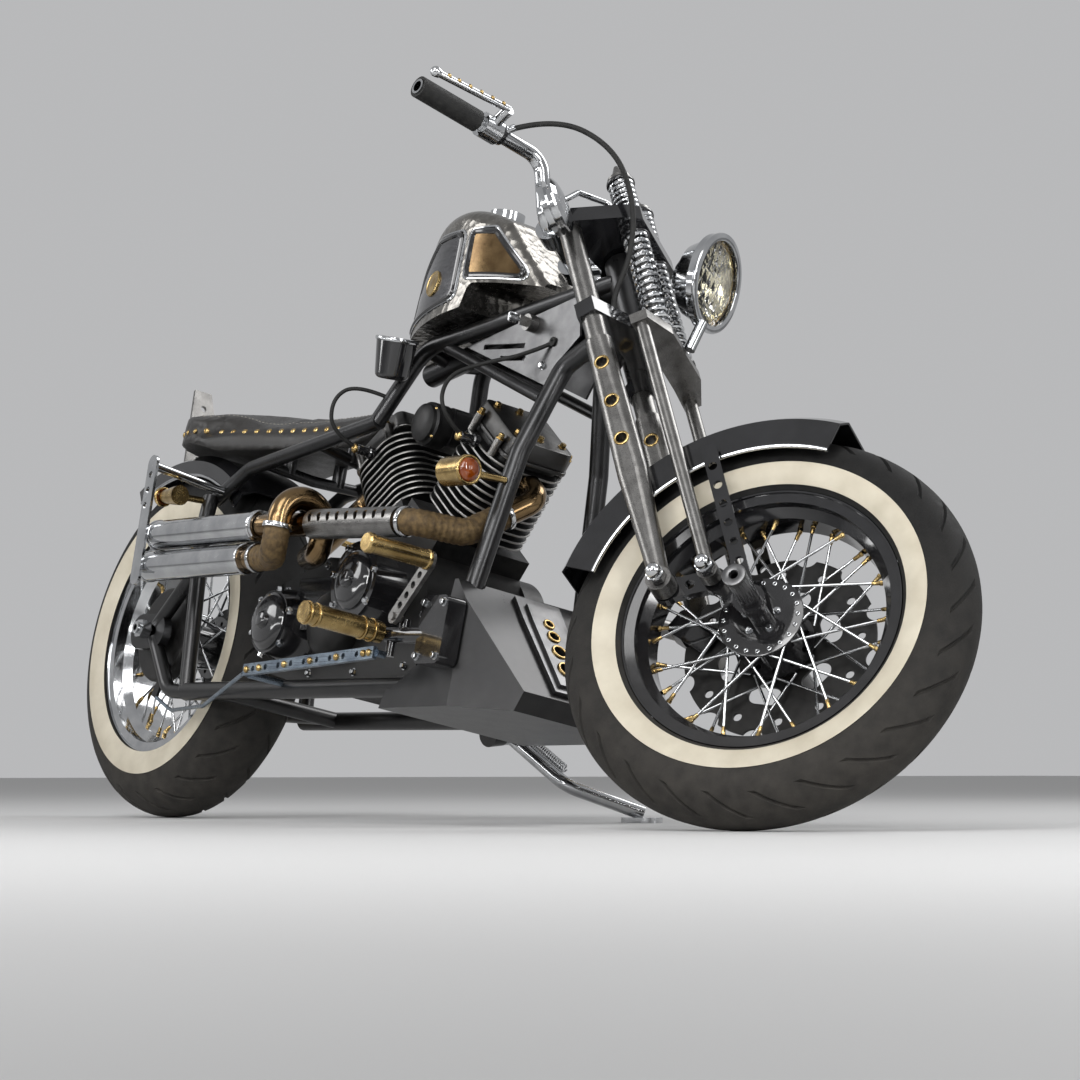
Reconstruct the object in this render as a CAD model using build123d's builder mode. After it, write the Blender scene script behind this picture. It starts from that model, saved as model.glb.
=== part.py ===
import math
import os

from build123d import *

os.makedirs("parts", exist_ok=True)

# Stance: the bike leans left on its side stand with the bars on their left stop
WHEELBASE = 1625.0
LEAN = 11.8
STEER = 32.4
RAKE = 34.0
TRAIL = 130.0

# Wheels: tyre radius and round crown radius, rim and hub sizes
FRONT_TYRE_R = 320.0
FRONT_CROWN_R = 62.0
REAR_TYRE_R = 323.0
REAR_CROWN_R = 75.0
RIM_EDGE_R = 216.0
RIM_BED_R = 184.0
FRONT_RIM_HALF = 48.0
REAR_RIM_HALF = 65.0
TYRE_WALL = 9.0
HUB_R = 34.0
FLANGE_R = 58.0
FLANGE_Y = 36.0
SPOKE_R = 2.2
SPOKE_SETS = 10
SPOKE_LACE = 40.0
AXLE_R = 11.0
AXLE_BORE_R = 6.0
DISC_R = 150.0

# Gaps: touching pieces, turning pieces and pins
SEAT_GAP = 0.4
PIN_GAP = 0.5
RUN_GAP = 8.0

# Springer fork, in the fork's own frame: X ahead of the steering axis, Z up along it
LEG_Y = 112.0
RIGID_X = -46.0
SPRING_LEG_X = 27.0
PIVOT_Z = 412.0
SPRING_PIVOT_Z = 398.0
LOWER_CLAMP_Z = 946.0
TOP_CLAMP_Z = 1133.0
CLAMP_T = 28.0
CROWN_Z = 893.0
STACK_X = 40.0
STACK_Y = 45.0
SPRING_R = 22.0
SPRING_WIRE_R = 4.5
STEM_R = 14.0
NECK_R = 29.0

# Frame tubes
TUBE_R = 16.0
BACKBONE_R = 20.0
RAIL_Y = 125.0
RAIL_Z = 203.0
SEAT_RAIL_Y = 100.0
SWING_Y = 95.0
SWING_R = 13.0

# Engine: crank centre, half the V angle and heights along each cylinder
CRANK_X = 765.0
CRANK_Z = 400.0
HALF_V = 35.0
BARREL_BASE = 118.0
BARREL_TOP = 232.0
HEAD_TOP = 286.0
COVER_TOP = 324.0
FIN_HALF = 78.0
FIN_T = 4.0
FIN_COUNT = 8

# Exhaust
PIPE_R = 20.0
MUFFLER_R = 26.0
UPPER_MUFFLER_Z = 460.0
LOWER_MUFFLER_Z = 404.0
MUFFLER_Y = -232.0

# Tank, seat and fenders
TANK_HALF = 110.0
TANK_ROUND = 26.0
TANK_REAR_X = 562.0
TANK_FRONT_X = 985.0
TANK_TOP_Z = 1035.7
TANK_LOW_Z = 798.0
TANK_SLOPE = 0.188
FENDER_T = 3.0
FENDER_GAP = 14.0
SEAT_Z = 652.0

# Side stand, in the upright frame
STAND_PIVOT = (795.0, 166.0, 190.0)
STAND_KNEE = (922.0, 215.0, 112.0)
STAND_FOOT_Y = 335.0
STAND_FOOT_X = 985.0
STAND_LEG_R = 12.0
STAND_AXIS = (-0.19, 0.94, 0.28)

rake = math.radians(RAKE)
AXLE_X = FRONT_TYRE_R * math.sin(rake) - TRAIL * math.cos(rake)
AXLE_Z = FRONT_TYRE_R * math.cos(rake) + TRAIL * math.sin(rake)


def tyre_low(pose, radius, crown):
    tilt = Plane(pose).y_dir.Z
    return pose.position.Z - (radius - crown) * math.sqrt(1 - tilt * tilt) - crown


STEERED = Plane(
    origin=(WHEELBASE + TRAIL, 0, 0),
    x_dir=(math.cos(rake), 0, math.sin(rake)),
    z_dir=(-math.sin(rake), 0, math.cos(rake)),
).location * Rot(0, 0, STEER)
FRONT_HUB = Pos(AXLE_X, 0, AXLE_Z)
REAR_HUB = Pos(0, 0, REAR_TYRE_R)

# Nose down or up until both tyres stand on the floor
pitch = 0.0
for step in range(8):
    tilt = Rot(0, pitch, 0) * Rot(-LEAN, 0, 0)
    rear_low = tyre_low(tilt * REAR_HUB, REAR_TYRE_R, REAR_CROWN_R)
    front_low = tyre_low(tilt * STEERED * FRONT_HUB, FRONT_TYRE_R, FRONT_CROWN_R)
    pitch += math.degrees((front_low - rear_low) / WHEELBASE)
PARKED = Pos(0, 0, -rear_low) * tilt
FORK = PARKED * STEERED

pieces = []


def piece(built, label, pose):
    pieces.append((built.part, label, pose))


def tube(points, radius, bend=0):
    with BuildPart() as run:
        with BuildLine() as path:
            if bend:
                FilletPolyline(*points, radius=bend)
            else:
                Line(*points)
        with BuildSketch(Plane(path.line @ 0, z_dir=path.line % 0)):
            Circle(radius)
        sweep()
    return run.part


def rod(start, end, radius):
    return tube((start, end), radius)


def tank_low(x):
    return TANK_LOW_Z + TANK_SLOPE * (x - 540)


# Wheels, in the wheel's own frame with the axle along Y
for name, tyre_r, crown_r, rim_half, pose in (
    ("front", FRONT_TYRE_R, FRONT_CROWN_R, FRONT_RIM_HALF, FORK * FRONT_HUB),
    ("rear", REAR_TYRE_R, REAR_CROWN_R, REAR_RIM_HALF, PARKED * REAR_HUB),
):
    bead_r = RIM_EDGE_R - 12
    with BuildPart() as tyre:
        with BuildSketch():
            with Locations((tyre_r - crown_r, 0)):
                Circle(crown_r)
                Circle(crown_r - TYRE_WALL, mode=Mode.SUBTRACT)
            with Locations((bead_r - 60, 0)):
                Rectangle(120, 4 * crown_r, mode=Mode.SUBTRACT)
            with Locations((RIM_EDGE_R - 60 + SEAT_GAP, 0)):
                Rectangle(120, 2 * rim_half + 2 * SEAT_GAP + 60, mode=Mode.SUBTRACT)
        revolve(axis=Axis.Y)
    piece(tyre, f"{name}_tyre", pose)

    with BuildPart() as rim:
        with BuildSketch():
            with BuildLine():
                Polyline(
                    (RIM_BED_R, 0),
                    (RIM_BED_R, rim_half * 0.42),
                    (RIM_BED_R + 14, rim_half * 0.62),
                    (RIM_BED_R + 14, rim_half - 5),
                    (RIM_EDGE_R - 3, rim_half - 3),
                    (RIM_EDGE_R - 3, rim_half),
                    (RIM_EDGE_R, rim_half),
                    (RIM_EDGE_R, rim_half - 6),
                    (RIM_BED_R + 19, rim_half - 9),
                    (RIM_BED_R + 19, rim_half * 0.55),
                    (RIM_BED_R + 5, rim_half * 0.36),
                    (RIM_BED_R + 5, 0),
                    close=True,
                )
            make_face()
            mirror(about=Plane.XZ)
        revolve(axis=Axis.Y)
    piece(rim, f"{name}_rim", pose)

    with BuildPart() as hub:
        with BuildSketch(Plane.XZ):
            Circle(HUB_R)
        extrude(amount=FLANGE_Y + 9, both=True)
        for side in (-1, 1):
            with BuildSketch(Plane.XZ.offset(side * FLANGE_Y)):
                Circle(FLANGE_R)
                with PolarLocations(46, 10):
                    Circle(4.5, mode=Mode.SUBTRACT)
            extrude(amount=2.5, both=True)
        with BuildSketch(Plane.XZ):
            Circle(AXLE_R + PIN_GAP)
        extrude(amount=FLANGE_Y + 20, both=True, mode=Mode.SUBTRACT)
    piece(hub, f"{name}_hub", pose)

    with BuildPart() as spokes:
        for index in range(SPOKE_SETS):
            for side, lace, shift in ((-1, 1, 0), (-1, -1, 18), (1, 1, 9), (1, -1, 27)):
                outer = index * 360 / SPOKE_SETS + shift
                inner = outer - lace * SPOKE_LACE
                start = Vector(FLANGE_R + 2.4, side * (FLANGE_Y + lace * 3), 0).rotate(Axis.Y, inner)
                end = Vector(RIM_BED_R - 1.1, side * (10 + lace * 4), 0).rotate(Axis.Y, outer)
                with BuildSketch(Plane(start, z_dir=end - start)):
                    Circle(SPOKE_R)
                extrude(amount=(end - start).length)
    piece(spokes, f"{name}_spokes", pose)

with BuildPart() as front_disc:
    with BuildSketch(Plane.XZ.offset(-(FLANGE_Y + 9))):
        Circle(DISC_R)
        with PolarLocations(DISC_R + 6, 12):
            Circle(18, mode=Mode.SUBTRACT)
        with PolarLocations(DISC_R - 24, 12, start_angle=15):
            Circle(7, mode=Mode.SUBTRACT)
        with PolarLocations(82, 6):
            SlotOverall(52, 30, rotation=90, mode=Mode.SUBTRACT)
        Circle(HUB_R - 6, mode=Mode.SUBTRACT)
    extrude(amount=-5)
piece(front_disc, "front_brake_disc", FORK * FRONT_HUB)

# Springer fork
with BuildPart() as clamps:
    for height, nose_x, nose_y in ((LOWER_CLAMP_Z, 30, 16), (TOP_CLAMP_Z, 66, 76)):
        with BuildSketch(Plane.XY.offset(height)):
            with BuildLine():
                Polyline(
                    (-36, 0),
                    (nose_x, 0),
                    (nose_x, nose_y),
                    (nose_x - 18, nose_y + 18),
                    (RIGID_X + 12, LEG_Y + 24),
                    (RIGID_X - 20, LEG_Y + 18),
                    (RIGID_X - 22, LEG_Y - 8),
                    (RIGID_X - 4, LEG_Y - 24),
                    close=True,
                )
            make_face()
            mirror(about=Plane.XZ)
        extrude(amount=CLAMP_T / 2, both=True)
    with Locations((0, 0, (LOWER_CLAMP_Z + TOP_CLAMP_Z) / 2)):
        Cylinder(STEM_R, TOP_CLAMP_Z - LOWER_CLAMP_Z)
    with Locations((0, 0, TOP_CLAMP_Z + CLAMP_T / 2 + 8)):
        Cylinder(20, 16)
    with Locations((RIGID_X, LEG_Y, 1000), (RIGID_X, -LEG_Y, 1000)):
        Cylinder(18 + SEAT_GAP, 500, mode=Mode.SUBTRACT)
    with Locations((STACK_X, STACK_Y, TOP_CLAMP_Z), (STACK_X, -STACK_Y, TOP_CLAMP_Z)):
        Cylinder(9, CLAMP_T + 2, mode=Mode.SUBTRACT)
piece(clamps, "fork_clamps", FORK)

with BuildPart() as rigid_legs:
    for height, wide, deep in ((PIVOT_Z, 15.05, 15), (620, 24, 16), (LOWER_CLAMP_Z - 60, 21, 18)):
        with BuildSketch(Plane(origin=(RIGID_X, LEG_Y, height))):
            SlotOverall(2 * wide, 2 * deep)
    loft(ruled=True)
    with BuildSketch(Plane(origin=(RIGID_X, LEG_Y, LOWER_CLAMP_Z - 60))):
        Circle(18)
    extrude(amount=TOP_CLAMP_Z + CLAMP_T / 2 + 6 - LOWER_CLAMP_Z + 60)
    with BuildSketch(Plane.XZ.offset(-LEG_Y)):
        with Locations((RIGID_X, PIVOT_Z)):
            Circle(20)
    extrude(amount=15, both=True)
    with BuildSketch(Plane.XZ.offset(-LEG_Y)):
        with Locations((RIGID_X, 680), (RIGID_X, 755), (RIGID_X, 832)):
            Circle(9)
        with Locations((RIGID_X, PIVOT_Z)):
            Circle(8 + PIN_GAP)
    extrude(amount=40, both=True, mode=Mode.SUBTRACT)
    mirror(about=Plane.XZ)
piece(rigid_legs, "fork_rigid_legs", FORK)

with BuildPart() as spring_legs:
    with Locations((SPRING_LEG_X, LEG_Y, (CROWN_Z + SPRING_PIVOT_Z) / 2)):
        Cylinder(11, CROWN_Z - SPRING_PIVOT_Z)
    with BuildSketch(Plane.XZ.offset(-LEG_Y)):
        with Locations((SPRING_LEG_X, SPRING_PIVOT_Z)):
            Circle(16)
    extrude(amount=11, both=True)
    with BuildSketch(Plane.XZ.offset(-LEG_Y)):
        with Locations((SPRING_LEG_X, SPRING_PIVOT_Z)):
            Circle(8 + PIN_GAP)
    extrude(amount=30, both=True, mode=Mode.SUBTRACT)
    mirror(about=Plane.XZ)
    with BuildSketch(Plane.XY.offset(CROWN_Z - 9)):
        with BuildLine():
            Polyline(
                (STACK_X - 24, 0),
                (STACK_X + 22, 0),
                (STACK_X + 22, STACK_Y + 20),
                (SPRING_LEG_X + 14, LEG_Y + 14),
                (SPRING_LEG_X - 14, LEG_Y + 14),
                (STACK_X - 24, STACK_Y + 20),
                close=True,
            )
        make_face()
        mirror(about=Plane.XZ)
    extrude(amount=18)
    with Locations((STACK_X, STACK_Y, (CROWN_Z + 1250) / 2), (STACK_X, -STACK_Y, (CROWN_Z + 1250) / 2)):
        Cylinder(8, 1250 - CROWN_Z)
    with Locations((STACK_X, STACK_Y, 1240), (STACK_X, -STACK_Y, 1240)):
        Cylinder(20, 8)
    with Locations((STACK_X, STACK_Y, 1258), (STACK_X, -STACK_Y, 1258)):
        Cone(14, 4, 28)
piece(spring_legs, "fork_spring_legs", FORK)

with BuildPart() as springs:
    for low, high in (
        (CROWN_Z + 9 + SEAT_GAP, TOP_CLAMP_Z - CLAMP_T / 2 - SEAT_GAP),
        (TOP_CLAMP_Z + CLAMP_T / 2 + SEAT_GAP, 1236 - SEAT_GAP),
    ):
        turns = round((high - low) / 15.0)
        pitch_z = (high - low) / turns
        with BuildSketch(Plane.XZ.offset(-STACK_Y)):
            with Locations((STACK_X + SPRING_R - SPRING_WIRE_R - 3, (low + high) / 2)):
                Rectangle(4, high - low)
            for turn in range(turns):
                with Locations((STACK_X + SPRING_R - SPRING_WIRE_R, low + pitch_z * (turn + 0.5))):
                    Circle(SPRING_WIRE_R)
        revolve(axis=Axis((STACK_X, STACK_Y, 0), (0, 0, 1)))
    mirror(about=Plane.XZ)
piece(springs, "fork_springs", FORK)

ROCKER_Y = LEG_Y - 26
with BuildPart() as rockers:
    with BuildSketch(Plane.XZ.offset(ROCKER_Y)):
        with BuildLine():
            Polyline((RIGID_X, PIVOT_Z), (SPRING_LEG_X, SPRING_PIVOT_Z), (AXLE_X, AXLE_Z))
        trace(line_width=34)
        with Locations((RIGID_X, PIVOT_Z), (SPRING_LEG_X, SPRING_PIVOT_Z), (AXLE_X, AXLE_Z)):
            Circle(20)
        with Locations((AXLE_X, AXLE_Z)):
            Circle(AXLE_R + SEAT_GAP, mode=Mode.SUBTRACT)
        with Locations(((RIGID_X + SPRING_LEG_X) / 2, (PIVOT_Z + SPRING_PIVOT_Z) / 2)):
            Circle(8, mode=Mode.SUBTRACT)
    extrude(amount=7, both=True)
    for x, z, reach in ((RIGID_X, PIVOT_Z, 22), (SPRING_LEG_X, SPRING_PIVOT_Z, 18)):
        with BuildSketch(Plane.XZ.offset(ROCKER_Y)):
            with Locations((x, z)):
                Circle(8)
        extrude(amount=LEG_Y - ROCKER_Y + reach)
        with BuildSketch(Plane.XZ.offset(LEG_Y + reach - 6)):
            with Locations((x, z)):
                RegularPolygon(14, 6)
        extrude(amount=12)
    mirror(about=Plane.XZ)
piece(rockers, "fork_rockers", FORK)

with BuildPart() as front_axle:
    with BuildSketch(Plane.XZ):
        with Locations((AXLE_X, AXLE_Z)):
            Circle(AXLE_R)
    extrude(amount=164, both=True)
    for side in (-1, 1):
        with BuildSketch(Plane.XZ.offset(side * (ROCKER_Y + 8))):
            with Locations((AXLE_X, AXLE_Z)):
                Circle(17)
        extrude(amount=side * 68)
        with BuildSketch(Plane.XZ.offset(side * 46)):
            with Locations((AXLE_X, AXLE_Z)):
                Circle(16)
        extrude(amount=side * (ROCKER_Y - 7 - SEAT_GAP - 46))
    with BuildSketch(Plane.XZ):
        with Locations((AXLE_X, AXLE_Z)):
            Circle(AXLE_BORE_R)
    extrude(amount=200, both=True, mode=Mode.SUBTRACT)
piece(front_axle, "front_axle", FORK)

fender_r = FRONT_TYRE_R + FENDER_GAP
with BuildPart() as front_fender:
    with BuildSketch(Plane.XY):
        with BuildLine():
            Polyline((fender_r - 62, 84), (fender_r - 16, 84), (fender_r, 62), (fender_r, 0))
        trace(line_width=FENDER_T)
        mirror(about=Plane.XZ)
    revolve(axis=Axis.Y, revolution_arc=93)
piece(front_fender, "front_fender", FORK * FRONT_HUB * Rot(0, -144, 0))

with BuildPart() as fender_struts:
    with BuildSketch(Plane.XZ.offset(ROCKER_Y + 9)):
        with BuildLine():
            Line((AXLE_X, AXLE_Z), (AXLE_X + 2, 628))
        trace(line_width=24)
        with Locations((AXLE_X, AXLE_Z)):
            Circle(24)
            Circle(17 + SEAT_GAP, mode=Mode.SUBTRACT)
        for hole in range(6):
            with Locations((AXLE_X + 1, 408 + 36 * hole)):
                Circle(7, mode=Mode.SUBTRACT)
    extrude(amount=5)
    with BuildSketch(Plane.XZ.offset(84 + FENDER_T / 2 + SEAT_GAP)):
        with Locations((AXLE_X + 2, 622)):
            Circle(9)
    extrude(amount=ROCKER_Y + 10 - 84 - FENDER_T / 2)
    mirror(about=Plane.XZ)
piece(fender_struts, "fender_struts", FORK)

with BuildPart() as front_caliper:
    with BuildSketch(Plane.XZ.offset(-(FLANGE_Y + 11.5))):
        with Locations((AXLE_X - 118, AXLE_Z + 78)):
            RectangleRounded(44, 84, 10, rotation=35)
    extrude(amount=11)
    extrude(front_caliper.faces().sort_by(Axis.Y)[-1], amount=24)
    with BuildSketch(Plane.XZ.offset(-(FLANGE_Y + 11.5))):
        with Locations((AXLE_X, AXLE_Z)):
            Circle(DISC_R + RUN_GAP)
    extrude(amount=2.5 + RUN_GAP, both=True, mode=Mode.SUBTRACT)
    add(rod((AXLE_X - 118, FLANGE_Y + 30, AXLE_Z + 78), (RIGID_X + 6, ROCKER_Y - 16.2, PIVOT_Z - 4), 9))
piece(front_caliper, "front_caliper", FORK)

# Headlamp: its axis is level when the bike is upright
LAMP_R = 78.0
LAMP = Plane(
    origin=(131, 0, 1007),
    x_dir=(math.sin(rake), 0, math.cos(rake)),
    z_dir=(math.cos(rake), 0, -math.sin(rake)),
)
with BuildPart() as lamp_shell:
    with BuildSketch(Plane(origin=LAMP.origin, x_dir=LAMP.x_dir, z_dir=-LAMP.y_dir)):
        with BuildLine():
            Polyline(
                (0, -58),
                (30, -55),
                (58, -34),
                (72, -4),
                (LAMP_R, -4),
                (LAMP_R, 10),
                (LAMP_R - 9, 10),
                (LAMP_R - 9, -1),
                (54, -30),
                (28, -50),
                (0, -53),
                close=True,
            )
        make_face()
    revolve(axis=Axis(LAMP.origin, LAMP.z_dir))
    add(rod((STACK_X + 28, 0, CROWN_Z + 3), (100, 0, 938), 9))
piece(lamp_shell, "headlamp_shell", FORK)

LENS_R = LAMP_R - 9 - SEAT_GAP
LENS_RISE = 12.0
lens_dome = (LENS_R**2 + LENS_RISE**2) / (2 * LENS_RISE)
with BuildPart() as lamp_lens:
    with BuildSketch(Plane(origin=LAMP.origin, x_dir=LAMP.x_dir, z_dir=-LAMP.y_dir)):
        with Locations((0, 16 - lens_dome)):
            Circle(lens_dome)
        with Locations((0, 0)):
            Rectangle(LENS_R, 40, align=(Align.MIN, Align.MIN), mode=Mode.INTERSECT)
    revolve(axis=Axis(LAMP.origin, LAMP.z_dir))
piece(lamp_lens, "headlamp_lens", FORK)

# Bars, grips and levers
BAR_R = 12.7
BAR_CENTRE = (-88, 0, 1188)
BAR_BEND = (-88, -84, 1188)
BAR_TOP = (-62, -112, 1290)
BAR_END = (-176, -352, 1312)
with BuildPart() as handlebar:
    add(tube((BAR_CENTRE, BAR_BEND, BAR_TOP, BAR_END), BAR_R, 36))
    add(rod((RIGID_X + 14, -50, TOP_CLAMP_Z + CLAMP_T / 2 + 16), (-88, -50, 1188), 15))
    with Locations((RIGID_X + 14, -50, TOP_CLAMP_Z + CLAMP_T / 2 + SEAT_GAP + 8)):
        Cylinder(17, 16)
    with Locations(Location((-88, -50, 1188), (90, 0, 0))):
        Cylinder(23, 34)
    mirror(about=Plane.XZ)
    for side in (-1, 1):
        tip = Vector(BAR_END[0], -side * BAR_END[1], BAR_END[2])
        bend = Vector(BAR_TOP[0], -side * BAR_TOP[1], BAR_TOP[2])
        with BuildSketch(Plane(tip, z_dir=bend - tip)):
            Circle(9)
        extrude(amount=60, mode=Mode.SUBTRACT)
piece(handlebar, "handlebar", FORK)

bar_way = (Vector(BAR_TOP) - Vector(BAR_END)).normalized()
with BuildPart() as grips:
    with BuildSketch(Plane(Vector(BAR_END) + bar_way * 2, z_dir=bar_way)):
        Circle(18)
        Circle(BAR_R + SEAT_GAP, mode=Mode.SUBTRACT)
    extrude(amount=124)
    mirror(about=Plane.XZ)
piece(grips, "grips", FORK)

with BuildPart() as levers:
    hold = Vector(BAR_END) + bar_way * 152
    tip = Vector(BAR_END) + bar_way * 12 + Vector(36, -18, 0)
    with BuildSketch(Plane(hold - bar_way * 17, z_dir=bar_way)):
        Circle(21)
        Circle(BAR_R + SEAT_GAP, mode=Mode.SUBTRACT)
    extrude(amount=34)
    add(rod(hold + Vector(14, -6, 0), hold + Vector(44, -22, 0), 10))
    add(rod(hold + Vector(44, -22, 0), tip, 6))
    mirror(about=Plane.XZ)
piece(levers, "levers", FORK)

with BuildPart() as mirror_right:
    with BuildSketch(Plane.YZ.offset(-58)):
        with Locations((-182, 1118)):
            Circle(46)
    extrude(amount=10)
    with BuildSketch(Plane.YZ.offset(-49)):
        with Locations((-182, 1118)):
            Circle(36)
    extrude(amount=12)
    stem_foot = (22, -84, TOP_CLAMP_Z + CLAMP_T / 2 + SEAT_GAP)
    add(tube(((-44, -182, 1122), (-12, -140, 1166), (22, -84, 1168), stem_foot), 5, 12))
piece(mirror_right, "mirror", FORK)

CABLE_WAY = (
    (-78, -196, 1296),
    (-8, -172, 1300),
    (56, -132, 1236),
    (66, -118, 1133),
    (36, -98, 1040),
    (-14, -78, 985),
    (-18, -72, LOWER_CLAMP_Z + CLAMP_T / 2 + 2),
)
with BuildPart() as cables:
    add(tube(CABLE_WAY, 4.5, 40))
piece(cables, "control_cables", FORK)

# Frame, in the upright frame with the rear tyre's contact at the origin
neck_low = STEERED * Pos(0, 0, LOWER_CLAMP_Z + CLAMP_T / 2 + 6)
neck_high = STEERED * Pos(0, 0, TOP_CLAMP_Z - CLAMP_T / 2 - 6)
NECK = Plane(neck_low.position, z_dir=neck_high.position - neck_low.position)
neck_length = (neck_high.position - neck_low.position).length
DOWN_TUBE = (
    (1192, -6, 832),
    (1079, -40, 745),
    (1055, -80, 595),
    (1034, -112, 340),
    (1002, -RAIL_Y, RAIL_Z),
    (215, -RAIL_Y, RAIL_Z),
)
with BuildPart() as main_frame:
    with BuildSketch(NECK):
        Circle(NECK_R)
    extrude(amount=neck_length)
    add(rod((1155, 0, 886), (628, 0, 779), BACKBONE_R))
    for x, z in ((660, 785), (800, 814)):
        add(rod((x, 0, z), (x, 0, tank_low(x - 16) - SEAT_GAP), 16))
    add(tube(DOWN_TUBE, TUBE_R, 40))
    add(tube(((1150, -16, 888), (690, -60, 806), (640, -SEAT_RAIL_Y, 668)), 14, 60))
    add(rod((690, -58, 804), (690, 0, 792), 12))
    add(rod((742, -50, 806), (1064, -62, 688), 10))
    add(tube(((145, -SEAT_RAIL_Y, 561), (248, -SEAT_RAIL_Y, 613), (650, -SEAT_RAIL_Y, 670)), 13, 60))
    add(rod((215, -RAIL_Y, RAIL_Z), (165, -RAIL_Y, 500), 14))
    add(rod((165, -RAIL_Y, 500), (150, -113, 562), 14))
    for x, rail, drop, post in ((300, 618, 612, 52), (470, 642, 626, 30)):
        add(rod((x, -SEAT_RAIL_Y, rail), (x, 0, drop), 10))
        add(rod((x, -post, drop), (x, -post, SEAT_Z - SEAT_GAP), 12))
    add(rod((985, -RAIL_Y, RAIL_Z), (985, 0, RAIL_Z), 12))
    add(rod((330, -RAIL_Y, RAIL_Z), (330, 0, RAIL_Z), 14))
    mirror(about=Plane.XZ)
    with BuildSketch(Plane(STAND_PIVOT, z_dir=STAND_AXIS).offset(-14 - SEAT_GAP)):
        Circle(20)
    extrude(amount=-30)
    with BuildSketch(NECK):
        Circle(STEM_R + PIN_GAP)
    extrude(amount=neck_length, mode=Mode.SUBTRACT)
piece(main_frame, "main_frame", PARKED)

with BuildPart() as gusset_panels:
    with BuildSketch(Plane.XZ.offset(38)):
        with BuildLine():
            Polyline((787, 805), (1040, 716), (1064, 758), (1110, 794), (1092, 864), close=True)
        make_face()
        with BuildLine():
            Line((838, 800), (958, 792))
        trace(line_width=9, mode=Mode.SUBTRACT)
        with BuildLine():
            Line((892, 776), (966, 770))
        trace(line_width=9, mode=Mode.SUBTRACT)
    extrude(amount=4)
    for x, z in ((860, 815), (1044, 847)):
        with BuildSketch(Plane.XZ.offset(BACKBONE_R + SEAT_GAP)):
            with Locations((x, z)):
                Circle(7)
        extrude(amount=38 - BACKBONE_R)
    mirror(about=Plane.XZ)
piece(gusset_panels, "gusset_panels", PARKED)

with BuildPart() as ignition:
    with BuildSketch(Plane.XZ.offset(42 + SEAT_GAP)):
        with Locations((975, 826)):
            Circle(14)
    extrude(amount=16)
    with BuildSketch(Plane.XZ.offset(58)):
        with Locations((975, 826)):
            Rectangle(3, 16)
    extrude(amount=14)
piece(ignition, "ignition_lock", PARKED)

with BuildPart() as swingarm:
    add(tube(((330, -SWING_Y, RAIL_Z), (96, -SWING_Y, 212), (0, -SWING_Y, REAR_TYRE_R)), SWING_R, 50))
    add(tube(((0, -SWING_Y, REAR_TYRE_R), (110, -SWING_Y, 430), (222, -SWING_Y, 512)), SWING_R, 60))
    with BuildSketch(Plane.XZ.offset(SWING_Y - 8)):
        with Locations((-8, REAR_TYRE_R)):
            SlotOverall(120, 64)
        with Locations((0, REAR_TYRE_R)):
            SlotOverall(44, 2 * AXLE_R + 2 * SEAT_GAP, mode=Mode.SUBTRACT)
    extrude(amount=16)
    with BuildSketch(Plane.XZ.offset(SWING_Y - 20)):
        with Locations((0, REAR_TYRE_R)):
            SlotOverall(44, 2 * AXLE_R + 2 * SEAT_GAP)
    extrude(amount=40, mode=Mode.SUBTRACT)
    mirror(about=Plane.XZ)
    with BuildSketch(Plane.XZ):
        with Locations((330, RAIL_Z)):
            Circle(14 + SEAT_GAP)
    extrude(amount=140, both=True, mode=Mode.SUBTRACT)
piece(swingarm, "swingarm", PARKED)

with BuildPart() as rear_axle:
    with BuildSketch(Plane.XZ):
        with Locations((0, REAR_TYRE_R)):
            Circle(AXLE_R)
    extrude(amount=134, both=True)
    for side in (-1, 1):
        with BuildSketch(Plane.XZ.offset(side * (SWING_Y + SWING_R + SEAT_GAP))):
            with Locations((0, REAR_TYRE_R)):
                RegularPolygon(18, 6)
        extrude(amount=side * 18)
    with BuildSketch(Plane.XZ):
        with Locations((0, REAR_TYRE_R)):
            Circle(AXLE_BORE_R)
    extrude(amount=180, both=True, mode=Mode.SUBTRACT)
piece(rear_axle, "rear_axle", PARKED)

with BuildPart() as rear_drum:
    with BuildSketch(Plane.XZ.offset(FLANGE_Y + 17)):
        with Locations((0, REAR_TYRE_R)):
            Circle(88)
            Circle(AXLE_R + SEAT_GAP, mode=Mode.SUBTRACT)
    extrude(amount=22)
    fillet(rear_drum.faces().sort_by(Axis.Y)[0].outer_wire().edges(), 6)
    with BuildSketch(Plane.XZ.offset(FLANGE_Y + 39)):
        with BuildLine():
            Line((40, REAR_TYRE_R - 56), (18, REAR_TYRE_R - 118))
        trace(line_width=18)
    extrude(amount=5)
piece(rear_drum, "rear_drum_brake", PARKED)

with BuildPart() as final_drive:
    with BuildSketch(Plane.XZ.offset(-(FLANGE_Y + 17))):
        with Locations((0, REAR_TYRE_R)):
            Circle(78)
            Circle(AXLE_R + SEAT_GAP, mode=Mode.SUBTRACT)
    extrude(amount=-24)
piece(final_drive, "final_drive", PARKED)

# Engine
with BuildPart() as crankcase:
    with BuildSketch(Plane.XZ):
        with Locations((CRANK_X, CRANK_Z - 20)):
            Circle(112)
        for lean in (-HALF_V, HALF_V):
            with Locations(Location((CRANK_X, CRANK_Z), lean)):
                Rectangle(126, BARREL_BASE - SEAT_GAP, align=(Align.CENTER, Align.MIN))
        with BuildLine():
            Polyline(
                (430, 240),
                (520, 222),
                (760, 222),
                (880, 232),
                (900, 330),
                (860, 400),
                (700, 430),
                (560, 440),
                (430, 400),
                close=True,
            )
        make_face()
    extrude(amount=92, both=True)
    with BuildSketch(Plane.XZ.offset(-92)):
        with Locations((CRANK_X - 70, CRANK_Z - 50)):
            SlotOverall(420, 180)
    extrude(amount=-40)
piece(crankcase, "crankcase", PARKED)

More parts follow.
